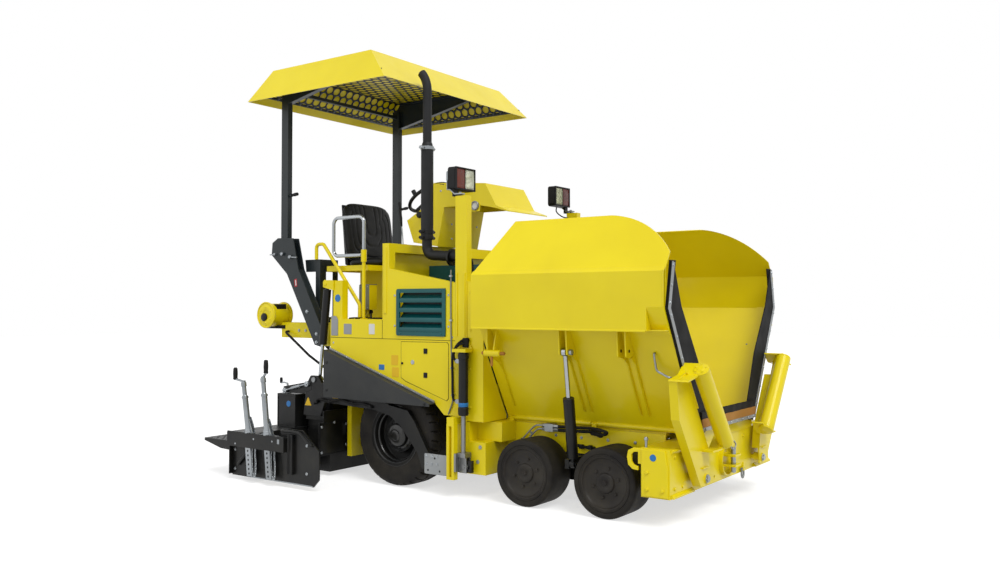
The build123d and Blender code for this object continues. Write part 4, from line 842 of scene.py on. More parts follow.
def makeBodySide():
    face = bodySide["face"]
    lift = bodySide["plateLift"]
    door = [(-0.34, 0.955), (-0.34, 0.722), (-0.3, 0.7), (0.04, 0.592), (0.056, 0.606), (0.056, 0.945), (0.046, 0.958)]
    gap = [(x + (0.003 if x > -0.1 else -0.003), z + (0.003 if z > 0.8 else -0.003)) for x, z in door]
    bothSides("hatchGap", [plate(gap, face - 0.0006, face + 0.001)], "black_rubber")
    bothSides("hatchDoor", [plate(door, face - 0.0022, face + 0.001)], "lemon_paint", bevel=0.0008)
    heights = bodySide["latches"]
    forms = ((-0.146, -0.116, -0.017, 0.017, 0.003, 0.006), (-0.141, -0.121, -0.004, 0.011, 0.002, 0.01))
    latches = [plate(roundedOutline(x0, x1, z + low, z + high, r), face - out, face - out + 0.005)
               for x0, x1, low, high, r, out in forms for z in heights]
    bothSides("hatchLatches", latches, "black_plastic", bevel=0.0008)
    lock = turned([(0.015, 0.001), (0.015, -0.004), (0.012, -0.006), (0.008, -0.005), (0, -0.005)],
                  (-0.241, face, 0.825), sides=28)
    bothSides("hatchLock", [lock], "zinc")
    knob = turned([(0.008, 0.001), (0.008, -0.004), (0.005, -0.007), (0, -0.007)], (-0.33, face - 0.002, 0.815),
                  sides=20)
    bothSides("hatchKnob", [knob], "black_plastic")
    # thin dark strips along the panel seams: painted shadow of the grooves
    seam = boxes((-0.998, 0.108, face - 0.0006, face + 0.001, 0.9705, 0.9735),
                 (-0.5115, -0.5085, face - 0.0006, face + 0.001, 0.975, 1.098))
    bothSides("panelSeamShadows", [seam], "black_rubber")
    folds = ((-0.498, -0.47, 0.005, 1.14, 1.585), (0.118, 0.13, 0.006, 1.0, 1.4), (0.176, 0.19, 0.006, 1.0, 1.4))
    fold = boxes(*[(x0, x1, face - out, face + 0.001, z0, z1) for x0, x1, out, z0, z1 in folds])
    bothSides("panelFolds", [fold], "lemon_paint", bevel=0.003)
    for number, (finish, (x0, x1, z0, z1)) in enumerate(barePlates):
        bothSides("barePlate%d" % number, [plate(roundedOutline(x0, x1, z0, z1, 0.005), face - lift, face + 0.0005)],
                  finish)
    rear, fore = bodySide["strip"]
    outline = [(x, fenderTop(x) + up) for x, up in ((rear, 0.001), (fore, 0.001), (fore, 0.013), (rear, 0.013))]
    bothSides("edgeStrip", [plate(outline, face - 0.014, face + 0.0005)], "bareSheet", bevel=0.0015)
    boltRow("stripBolts", [(x, face - 0.014, fenderTop(x) + 0.007) for x in np.linspace(-0.93, -0.12, 9)], rightward,
            0.0045, 0.003)
    fenderBolts = [(x, -0.7655, z) for x, z in ((-0.97, 0.61), (-0.97, 0.8), (-0.09, 0.566))]
    boltRow("fenderBolts", fenderBolts, rightward, 0.008, 0.005, "black_paint")
    line = [(0.079, -0.705, 1.42), (0.079, -0.706, 1.229), (0.083, -0.706, 0.95), (0.096, -0.708, 0.7),
            (0.098, -0.708, 0.6), (0.07, -0.706, 0.53), (0.06, -0.706, 0.508)]
    bothSides("conduit", [hose(line, 0.005)], "boxGrey")
    clips = boxes(*[(x - 0.01, x + 0.01, -0.713, -0.699, z - 0.006, z + 0.006)
                    for x, z in ((0.079, 1.38), (0.08, 1.1), (0.09, 0.8), (0.097, 0.63))])
    bothSides("conduitClips", [clips], "zinc", bevel=0.001)
    spots = ((0.086, 0.993), (-0.97, 0.935), (-0.4, 1.06), (-0.4, 1.26), (0.055, 1.06), (0.055, 1.26))
    boltRow("panelBolts", [(x, face, z) for x, z in spots], rightward, 0.006, 0.004)
    grilleBolts = [(x, -0.709, z) for x in (-0.345, 0.0) for z in (1.01, 1.289)]
    boltRow("grilleBolts", grilleBolts, rightward, 0.0055, 0.003, "teal_paint")
    bothSides("liftDisc", [flatDisc((-0.935, -0.695, 1.245), 0.026)], "blueDisc")
    cover = [plate([(-0.99, 0.985), (-0.925, 0.985), (-0.925, 1.095), (-0.945, 1.12), (-0.99, 1.12)], -0.7035, -0.699)]
    bothSides("socketCover", cover, "greyPlate", bevel=0.001)


makeBodySide()

# grey box by the seat with its lid, glands and two leads
switchBox = {"limits": (-0.942, -0.848, -0.472, -0.388, 1.163, 1.342), "leads": (-0.925, -0.868)}


def makeSwitchBox():
    x0, x1, y0, y1, z0, z1 = switchBox["limits"]
    lid = [plate(roundedOutline(x0, x1, z0, z1, 0.006), y0 - 0.006, y0 + 0.002),
           boxes((x0, x1, y0, y1, z1 - 0.002, z1 + 0.003))]
    makePiece("switchBoxLid", lid, "boxGrey", bevel=0.002)
    screws = bolts([(x, y0 - 0.006, z) for x in (x0 + 0.012, x1 - 0.012) for z in (z0 + 0.014, z1 - 0.014)], rightward,
                   0.004, 0.002)
    makePiece("switchBoxScrews", [screws], "zinc", smooth=30)
    gland = [(0.01, 0), (0.01, -0.01), (0.013, -0.012), (0.013, -0.022), (0.007, -0.028)]
    glands = [turned(gland, (x, -0.43, z0), upward, 16) for x in switchBox["leads"]]
    leads = [hose([(x, -0.43, z0 - 0.02), (x, -0.43, z0 - 0.04), (x + 0.01, -0.44, 1.112), (x + 0.03, -0.46, 1.106),
                   (x + 0.05, -0.5, 1.106), (x + 0.052, -0.6, 1.106), (x + 0.05, -0.64, 1.104)], 0.006, 8)
             for x in switchBox["leads"]]
    makePiece("switchBoxLeads", glands + leads, "black_rubber")


makeSwitchBox()

# levelling cylinders: gland rings, blue marks, ports and the hoses that feed them
cylinders = {"levelX": 0.206, "levelY": -0.74}


def makeCylinderTrim():
    x, y = cylinders["levelX"], cylinders["levelY"]
    rings = [turned([(0.0305, 0.52), (0.033, 0.522), (0.033, 0.56), (0.0305, 0.563)], (x, y, 0), upward),
             turned([(0.0305, 0.86), (0.034, 0.863), (0.034, 0.895), (0.0305, 0.898)], (x, y, 0), upward)]
    bothSides("levelRings", rings, "black_paint")
    mark = turned([(0.0304, 0.568), (0.0311, 0.569), (0.0311, 0.592), (0.0304, 0.593)], (x, y, 0), upward)
    bothSides("levelMark", [mark], "blueDisc")
    ports = [boxes(*[(x - 0.048, x - 0.022, y - 0.014, y + 0.014, z0, z0 + 0.027) for z0 in (0.835, 0.585)]),
             bolts([(x - 0.048, y, 0.848), (x - 0.048, y, 0.598)], backward, 0.01, 0.014)]
    bothSides("levelPorts", ports, "zinc", smooth=30)
    feeds = [hose([(x - 0.058, y, 0.848), (x - 0.078, y + 0.002, 0.87), (x - 0.075, y + 0.006, 0.915),
                   (x - 0.045, -0.722, 0.95), (x - 0.012, -0.712, 0.955), (x + 0.004, -0.698, 0.955)], 0.008),
             hose([(x - 0.058, y, 0.598), (x - 0.082, y, 0.62), (x - 0.086, y, 0.74), (x - 0.088, y + 0.002, 0.87),
                   (x - 0.07, -0.728, 0.935), (x - 0.03, -0.714, 0.975), (x - 0.012, -0.7, 0.978)], 0.008)]
    bothSides("levelHoses", feeds, "black_rubber")
    junction = [plate(roundedOutline(0.178, 0.222, 0.932, 0.992, 0.006), -0.716, -0.699)]
    bothSides("hoseJunction", junction, "black_rubber", bevel=0.002)


makeCylinderTrim()
print("the body sides are finished")

# louvre lips: the folded front edge of each slat, with its rounded nose
grille = {"x": (-0.352, 0.006), "first": 1.0263, "pitch": 0.0636, "count": 4, "tall": 0.024, "outer": -0.708,
          "inner": -0.703}


def makeLouvreLips():
    x0, x1 = grille["x"]
    outer, inner = grille["outer"], grille["inner"]
    z = grille["first"] + grille["pitch"] * np.arange(grille["count"])
    lips = []
    for low in z:
        high = low + grille["tall"]
        section = [(outer + 0.0015, low - 0.004), (outer, low), (outer, high - 0.004), (outer + 0.0015, high),
                   (inner, high + 0.001), (inner, high - 0.004), (inner - 0.0015, low + 0.002)]
        lips.append(plate(section, x0, x1, "x"))
    bothSides("louvreLips", lips, "teal_paint")
    behind = plate(roundedOutline(x0 - 0.002, x1 + 0.002, 1.022, 1.278, 0.01), -0.6685, -0.6665)
    bothSides("louvreBack", [behind], "black_plastic")


makeLouvreLips()

# sheet panels that close the gap between the lamp post and the hopper's rear wall
closing = {"x": (0.2004, 0.3262), "z": (0.474, 1.345), "face": -0.6945}


def makeClosingPanels():
    x0, x1 = closing["x"]
    z0, z1 = closing["z"]
    face = closing["face"]
    side = plate([(x0, z0), (x1, z0), (x1, z1), (x0, z1)], face, -0.69)
    corner = plate([(face, z0), (-0.446, z0), (-0.446, 0.5), (face, 0.965)], 0.321, x1, "x")
    top = boxes((x0, x1, face, -0.655, 1.34, z1))
    bothSides("closingPanel", [side, corner, top], "lemon_paint", bevel=0.0015)
    heads = [(0.225, face, z) for z in (0.56, 0.8, 1.04, 1.28)]
    boltRow("closingBolts", heads, rightward, 0.007, 0.005, "lemon_paint")


makeClosingPanels()

# hopper wings: low ribs down the slanted wall, lock bar at the rear, latch rods at the front, ear pins
wing = {"knee": (-0.825, 1.18), "foot": (-0.455, 0.5015), "ribTop": 0.925, "ribFoot": 0.56, "ribHeight": 0.013,
        "lock": (-0.778, 0.908)}


def wallPoint(z, out=0.0):
    # a point of the slanted wall at a height, moved out along the wall's normal
    (y0, z0), (y1, z1) = wing["knee"], wing["foot"]
    length = np.hypot(y1 - y0, z0 - z1)
    y = y0 + (y1 - y0) * (z0 - z) / (z0 - z1)
    return y - (z0 - z1) / length * out, z - (y1 - y0) / length * out


def makeWingTrim():
    top, foot, height = wing["ribTop"], wing["ribFoot"], wing["ribHeight"]
    tall = ((top, -0.002), (top, 0.045), (top - 0.05, height), (foot + 0.02, height), (foot, -0.002))
    rear = ((0.86, -0.002), (0.86, 0.03), (0.8, height), (0.58, height), (0.56, -0.002))
    places = [(tall, x + 0.001, x + 0.008) for x in (0.925, 0.975, 1.3, 1.35)] + [(rear, 0.4208, 0.4285)]
    ribs = [plate([wallPoint(*pair) for pair in pairs], x0, x1, "x") for pairs, x0, x1 in places]
    bothSides("wingRibs", ribs, "lemon_paint", "wing_SIDE")
    holes = [turned([(0.0, 0.0008), (0.009, 0.0008), (0.009, -0.001), (0, -0.001)], (x, -0.752, 0.945), forward, 24)
             for x in (1.3092, 1.3592)]
    bothSides("earHoles", holes, "black_rubber", "wing_SIDE")
    head = [(0, 0.022), (0.01, 0.022), (0.0165, 0.017), (0.0175, 0.008), (0.0165, 0.0), (0, 0.0)]
    bothSides("wingPinHead", [turned(head, (0.9845, -0.76, 0.929), forward, 28)], "zinc", "wing_SIDE")
    ear = [(-0.795, 0.93), (-0.76, 1.062), (-0.735, 1.062), (-0.745, 0.93), (-0.77, 0.905)]
    boss = [tube([(x, *wing["lock"]) for x in (0.4, 0.402, 0.512, 0.514)], (0.018, 0.021, 0.021, 0.018), 24),
            plate(ear, 0.47, 0.478, "x")]
    bothSides("lockBoss", boss, "lemon_paint", "wing_SIDE")
    lockPin = [tube([(x, *wing["lock"]) for x in (0.378, 0.384, 0.54, 0.546)], (0.008, 0.011, 0.011, 0.008), 16),
               plate(roundedOutline(0.446, 0.462, 0.83, 0.9, 0.006), -0.786, -0.78)]
    bothSides("lockPin", lockPin, "reliefBand", "wing_SIDE")
    y0, y1, y2 = wallPoint(0.925, 0.01)[0], wallPoint(0.835, 0.03)[0], wallPoint(0.805, 0.036)[0]
    latch = [(1.485, y0 + 0.012, 0.936), (1.485, y0 - 0.01, 0.93), (1.487, y1 - 0.03, 0.88), (1.491, y1 - 0.018, 0.842),
             (1.52, y2 - 0.018, 0.822), (1.556, y2 - 0.016, 0.806), (1.57, y2 + 0.006, 0.8)]
    stub = [(1.54, wallPoint(0.745, -0.004)[0], 0.745), (1.541, wallPoint(0.742, 0.018)[0], 0.742),
            (1.544, wallPoint(0.735, 0.03)[0], 0.728)]
    bothSides("latchRod", [hose(path, 0.006, steps=6) for path in (latch, stub)], "zinc", "wing_SIDE")
    folds = ((((-0.8515, 1.054), (-0.8515, 1.062), (-0.846, 1.068), (-0.843, 1.062), (-0.843, 1.054)), 0.35, 1.505),
             (((-0.8515, 1.19), (-0.8515, 1.382), (-0.843, 1.382), (-0.843, 1.19)), 1.603, 1.6095),
             (((-0.8495, 1.19), (-0.8495, 1.184), (-0.77, 1.038), (-0.752, 1.044), (-0.82, 1.19)), 1.509, 1.6095),
             (((-0.848, 1.189), (-0.848, 1.0625), (-0.759, 1.0625), (-0.822, 1.189)), 1.505, 1.5085))
    fold = [plate(outline, x0, x1, "x") for outline, x0, x1 in folds]
    bothSides("panelFold", fold, "lemon_paint", "wing_SIDE", bevel=0.0012)


makeWingTrim()

# flaps: wide rubber sheets at the hopper's mouth with steel strips and bolts on their outer edge
flap = {"x": 1.6195, "rubber": 0.006, "steel": 0.004, "outer": ((-0.444, 0.492), (-0.831, 1.18), (-0.778, 1.432)),
        "strip": 0.03, "inner": ((-0.345, 0.478), (-0.3, 0.565), (-0.44, 0.891), (-0.655, 1.192), (-0.752, 1.432))}


def makeFlaps():
    outer = np.array(flap["outer"])
    inward = np.array([(1.0, 0.1), (1.0, 0.06), (1.0, -0.25)])
    x = flap["x"]
    front = x + flap["rubber"]
    rubber = plate(np.vstack([outer, np.array(flap["inner"])[::-1]]), x, front, "x")
    bothSides("flapSheet", [rubber], "black_rubber", "wing_SIDE", bevel=0.002)
    edge = outer + inward * 0.004
    strip = np.vstack([edge, (edge + inward * flap["strip"])[::-1]])
    bothSides("flapStrip", [plate(strip, front, front + flap["steel"], "x")], "bareSheet", "wing_SIDE", bevel=0.001)
    along = np.array([0.12, 0.27, 0.44, 0.61, 0.78, 0.95])[:, None]
    rows = [edge[0] + (edge[1] - edge[0]) * along, edge[1] + (edge[2] - edge[1]) * np.array([0.12, 0.5, 0.92])[:, None]]
    places = np.vstack(rows) + (flap["strip"] / 2, 0)
    places = np.column_stack([np.full(len(places), front + flap["steel"]), places])
    boltRow("flapBolts", places, forward, 0.007, 0.005, body="wing_SIDE")


makeFlaps()

# apron: rubber lip, ochre band, steel strip with its bolts, and a plate below them across the mouth
apron = {"x": 1.634, "half": 0.419, "bolts": 9, "steps": 60}


def makeApron():
    # the lip sways forward and back along Y by the sum of two sines
    x, half, steps = apron["x"], apron["half"], apron["steps"]
    y = np.linspace(-half, half, steps)
    sway = 0.0015 * np.sin(y * 23) + 0.001 * np.sin(y * 61)
    section = ((0.0006, 0.597), (0.0042, 0.599), (0.0046, 0.56), (0.0006, 0.555))
    lip = np.stack([np.stack([x + sway + t, y, np.full(steps, z)], 1) for t, z in section])
    ends = [[k * steps for k in range(4)], [k * steps - 1 for k in range(1, 5)]]
    lipFaces = gridFaces(4, steps, closeRows=True) + ends
    makePiece("apronLip", [(lip.reshape(-1, 3), lipFaces)], "black_rubber")
    band = [plate([(x, 0.508), (x + 0.005, 0.508), (x + 0.007, 0.54), (x + 0.006, 0.56), (x, 0.56)], -half, half)]
    makePiece("apronBand", band, "reliefBand", bevel=0.001)
    steel = boxes((x + 0.004, x + 0.009, -half + 0.004, half - 0.004, 0.4915, 0.512))
    makePiece("apronStrip", [steel], "bareSheet", bevel=0.001)
    places = [(x + 0.009, place, 0.502) for place in np.linspace(-half + 0.04, half - 0.04, apron["bolts"])]
    makePiece("mouthPlate", [boxes((1.601, 1.6055, -0.44, 0.44, 0.4255, 0.4895))], "lemon_paint", bevel=0.001)
    makePiece("apronBolts", [bolts(places, forward, 0.007, 0.005)], "zinc", smooth=30)


makeApron()

# front beam: end brackets with hook and disc, tow pin with its ring, shackle, bolt rows and edge fold
beam = {"front": 1.6, "end": -0.757, "towPin": 1.655, "shackle": 1.612}


def makeBeamTrim():
    end = beam["end"]
    hook = [(1.452, 0.425), (1.385, 0.425), (1.352, 0.408), (1.345, 0.372), (1.352, 0.33), (1.378, 0.308),
            (1.412, 0.304), (1.412, 0.325), (1.385, 0.332), (1.372, 0.35), (1.372, 0.388), (1.388, 0.402),
            (1.412, 0.404), (1.412, 0.34), (1.452, 0.34)]
    outline = [(1.436, 0.172), (1.59, 0.172), (1.59, 0.33), (1.575, 0.424), (1.436, 0.424)]
    bracket = [plate(hook, end - 0.002, end + 0.016), plate(outline, end - 0.01, end + 0.001)]
    bothSides("beamBracket", bracket, "lemon_paint", bevel=0.003)
    pin = [(0, 0.485), (0.008, 0.485), (0.012, 0.478), (0.012, 0.468), (0.007, 0.466), (0.007, 0.425)]
    bothSides("beamPin", [turned(pin, (1.452, -0.738, 0), upward, 20)], "zinc")
    bothSides("beamDisc", [flatDisc((1.506, end - 0.01, 0.381), 0.0185)], "blueDisc")
    x = beam["front"]
    seats = [bolts([(x, y, z) for y in (-0.7, -0.6, -0.3) for z in (0.215, 0.385)], forward, 0.009, 0.007),
             bolts([(1.47, -0.7672, 0.21), (1.56, -0.7672, 0.21), (1.47, -0.7672, 0.3)], rightward, 0.01, 0.008)]
    bothSides("beamBolts", seats, "lemon_paint", smooth=30)
    lower = [(x - 0.001, 0.168), (x + 0.018, 0.168), (x + 0.018, 0.178), (x + 0.004, 0.19), (x - 0.001, 0.19)]
    upper = [(x - 0.001, 0.405), (x + 0.004, 0.405), (x + 0.016, 0.42), (x + 0.016, 0.428), (x - 0.001, 0.428)]
    bothSides("beamEdges", [plate(lower, -0.745, -0.475), plate(upper, -0.745, -0.5)], "lemon_paint", bevel=0.0015)
    x = beam["towPin"]
    post = [(0, 0.356), (0.013, 0.356), (0.0145, 0.352), (0.0145, 0.212), (0.01, 0.206), (0, 0.206)]
    ring = [(-0.014, 0.346), (-0.03, 0.352), (-0.036, 0.372), (0.0, 0.394), (0.036, 0.372), (0.03, 0.352),
            (0.014, 0.346)]
    towPin = [turned(post, (x, 0, 0), upward, 24), hose([(x, y, z) for y, z in ring], 0.0045)]
    x = beam["shackle"]
    bow = [(0.247, 0.186), (0.243, 0.165), (0.245, 0.145), (0.261, 0.132), (0.277, 0.145), (0.279, 0.165),
           (0.275, 0.186)]
    shackle = [hose([(x, y, z) for y, z in bow], 0.006, 12), tube([(x, 0.236, 0.188), (x, 0.286, 0.188)], 0.0075, 12)]
    makePiece("towPin", towPin, "zinc")
    makePiece("shackle", shackle, "steel")
    lug = plate([(0.25, 0.176), (0.272, 0.176), (0.272, 0.215), (0.25, 0.215)], 1.599, 1.622, "x")
    makePiece("shackleLug", [lug], "lemon_paint", bevel=0.003)


makeBeamTrim()

# push rollers: end caps with bolts, edge bands, pivot nuts and stiffening ribs
push = {"low": (1.737, -0.336, 0.443), "high": (1.737, -0.66, 0.85), "pivot": (1.676, -0.442, 0.24)}


def makePushTrim():
    low, high = np.array(push["low"]), np.array(push["high"])
    axis = unit(high - low)
    length = np.linalg.norm(high - low)
    cap = turned([(0.0, length + 0.021), (0.018, length + 0.021), (0.022, length + 0.017), (0.037, length + 0.015),
                  (0.041, length + 0.01), (0.041, length + 0.004)], low, axis, 40)
    foot = turned([(0.044, -0.009), (0.046, -0.012), (0.044, -0.021), (0.03, -0.026), (0.014, -0.027), (0, -0.027)],
                  low, axis, 40)
    side = unit(np.cross(axis, forward))
    turn = np.linspace(0, fullTurn, 5, endpoint=False)[:, None]
    around = np.cos(turn) * side + np.sin(turn) * np.cross(axis, side)
    heads = bolts(high + around * 0.03 + axis * 0.015, axis, 0.006, 0.005)
    bothSides("rollerCaps", [cap, foot, heads], "lemon_paint", "push_arm_SIDE", smooth=34)
    x, y, z = push["pivot"]
    boltRow("pivotNut", [(x + 0.001, y, z)], forward, 0.019, 0.012)
    slanted = [(-0.7, 0.842), (-0.655, 0.78), (-0.56, 0.64), (-0.567, 0.636), (-0.662, 0.775), (-0.708, 0.838)]
    level = [(-0.505, 0.3), (-0.425, 0.3), (-0.425, 0.307), (-0.505, 0.307)]
    ribs = [plate(slanted, 1.669, 1.68, "x"), plate(level, 1.669, 1.682, "x")]
    bothSides("armRibs", ribs, "lemon_paint", "push_arm_SIDE", bevel=0.001)
    bands = [turned([(0.0463, d - 0.003), (0.0466, d), (0.0463, d + 0.003)], low, axis, 48)
             for d in (0.012, length - 0.012)]
    bothSides("rollerEdges", bands, "lemon_paint", "push_roller_SIDE")


makePushTrim()

# pipes and hoses beside the front wheels, with their fittings and clamps
plumbing = {"pipe": 0.0055, "hose": 0.0095, "y": -0.47}


def makePlumbing():
    y = plumbing["y"]
    out = y - 0.008
    steelPipes = [[(0.455, y, 0.362), (0.475, y - 0.004, 0.368), (0.52, out, 0.412), (0.565, out, 0.45),
                   (0.6, out, 0.457), (0.625, out, 0.457)],
                  [(0.455, y, 0.338), (0.49, y - 0.004, 0.346), (0.54, out, 0.392), (0.58, out, 0.428),
                   (0.605, out, 0.436), (0.625, out, 0.436)]]
    bothSides("steelPipes", [hose(path, plumbing["pipe"]) for path in steelPipes], "zinc")
    fittings = [tube([(x, out, z) for x in (0.62, 0.64, 0.665, 0.7, 0.735)], (0.0105, 0.0125, 0.0105, 0.012, 0.011), 6)
                for z in (0.457, 0.436)]
    fittings += [boxes((0.64, 0.7, y - 0.02, y + 0.022, 0.424, 0.47))]
    bothSides("pipeFittings", fittings, "zinc", smooth=30)
    loops = [[(0.73, out, 0.457), (0.78, y - 0.012, 0.46), (0.86, -0.5, 0.464), (0.93, -0.512, 0.468),
              (1.0, -0.54, 0.474), (1.07, -0.56, 0.472), (1.11, -0.556, 0.46), (1.09, -0.545, 0.446),
              (1.02, -0.53, 0.44), (0.985, -0.512, 0.441), (0.975, -0.48, 0.442), (0.975, -0.452, 0.442)],
             [(0.73, out, 0.436), (0.79, y - 0.012, 0.438), (0.86, -0.492, 0.442), (0.93, -0.502, 0.446),
              (0.99, -0.52, 0.452), (1.04, -0.532, 0.45), (1.062, -0.524, 0.438), (1.045, -0.512, 0.428),
              (1.015, -0.49, 0.43), (1.003, -0.47, 0.436), (1.003, -0.452, 0.438)],
             [(0.858, -0.449, 0.352), (0.866, -0.46, 0.352), (0.89, -0.462, 0.349), (0.93, -0.462, 0.346),
              (0.962, -0.461, 0.345), (0.972, -0.449, 0.345)]]
    bothSides("hoseLoops", [hose(path, plumbing["hose"], 12) for path in loops], "black_rubber")
    clamps = boxes(*[(x - 0.012, x + 0.012, -0.4735, -0.449, 0.336, 0.361) for x in (0.885, 0.945)])
    bothSides("hoseClamps", [clamps], "black_paint", bevel=0.002)
    plugs = [boxes((0.96, 1.018, -0.462, -0.449, 0.427, 0.453))]
    bothSides("hoseBlock", plugs, "black_paint", bevel=0.003)
    heads = [(x, -0.69, z) for x, z in ((0.281, 0.229), (0.16, 0.32), (0.3, 0.32))]
    row = [(x, -0.45, 0.4) for x in (0.52, 0.7, 0.88, 1.06, 1.24, 1.4)]
    frameBolts = [bolts(heads, rightward, 0.01, 0.008), bolts(row, rightward, 0.008, 0.006)]
    bothSides("frameBolts", frameBolts, "zinc", smooth=30)


makePlumbing()
print("the hopper's pieces are made")

# screed ends: crank grips, sleeves on the spindles, guide strips with chains, gate fittings and treads
screedEnd = {"y": -1.16, "cover": -1.184, "gate": -1.136, "foot": 0.33, "crankY": -0.7,
             "spindles": (((-1.302, 0.333), (-1.361, 0.683)), ((-1.115, 0.333), (-1.161, 0.72))),
             "grips": ((-1.445, 0.69, 0.7665), (-1.132, 0.745, 0.8295)), "strips": ((-1.318, -1.262), (-1.126, -1.07)),
             "chainPitch": 0.0165}


def chainLinks(path, pitch, wire, width):
    # an oval ring copied along a path: its long side follows the path and every second ring is turned a quarter
    path = np.array(path, float)
    length = np.concatenate([[0], np.cumsum(np.linalg.norm(np.diff(path, axis=0), axis=1))])
    at = np.arange(pitch / 2, length[-1], pitch)
    place = np.stack([np.interp(at, length, path[:, i]) for i in range(3)], 1)
    ahead = unit(np.gradient(place, axis=0))
    side = unit(np.cross(ahead, (0, 1, 0)))
    up = np.cross(side, ahead)
    odd = (np.arange(len(at)) % 2)[:, None]
    flat, thick = np.where(odd, up, side), np.where(odd, -side, up)
    rows, cols = 10, 5  # points round the oval and round the wire
    a = np.linspace(0, fullTurn, rows, endpoint=False)[:, None, None]
    b = -np.linspace(0, fullTurn, cols, endpoint=False)[:, None]
    ahead, flat, thick, place = (v[:, None, None] for v in (ahead, flat, thick, place))
    outward = np.cos(a) * ahead + np.sin(a) * flat
    centre = place + np.cos(a) * (pitch / 2 + wire) * ahead + np.sin(a) * (width / 2) * flat
    points = centre + wire * (np.cos(b) * outward + np.sin(b) * thick)
    one = np.array(gridFaces(rows, cols, closeRows=True, closeCols=True))
    faces = np.arange(len(at))[:, None, None] * rows * cols + one
    return points.reshape(-1, 3), faces.reshape(-1, 4).tolist()


def treads(x0, x1, y0, y1, z, pitch=0.03, size=0.011, height=0.0022):
    # flat-topped lozenges on a grid, every second one turned a quarter
    x, y = np.meshgrid(np.arange(x0 + pitch / 2, x1 - size, pitch), np.arange(y0 + pitch / 2, y1 - size, pitch),
                       indexing="ij")
    odd = ((np.arange(x.shape[0])[:, None] + np.arange(x.shape[1])) % 2).ravel()[:, None]
    corner = np.array([(1.0, 0.0), (0.0, 0.32), (-1.0, 0.0), (0.0, -0.32)]) * size
    lean = np.array([(0.707, 0.707), (-0.707, 0.707)])  # an eighth of a turn
    ring = np.where(odd[:, :, None], corner @ lean, corner @ (lean[:, ::-1] * (1, -1)))
    centre = np.stack([x.ravel(), y.ravel()], 1)[:, None]
    low, high = centre + ring, centre + ring * 0.7
    count = len(low)
    points = np.concatenate([np.dstack([low, np.full((count, 4), z - 0.0005)]),
                             np.dstack([high, np.full((count, 4), z + height)])], 1)
    one = np.array([(0, 1, 5, 4), (1, 2, 6, 5), (2, 3, 7, 6), (3, 0, 4, 7), (4, 5, 6, 7), (3, 2, 1, 0)])
    faces = np.arange(count)[:, None, None] * 8 + one
    return points.reshape(-1, 3), faces.reshape(-1, 4).tolist()


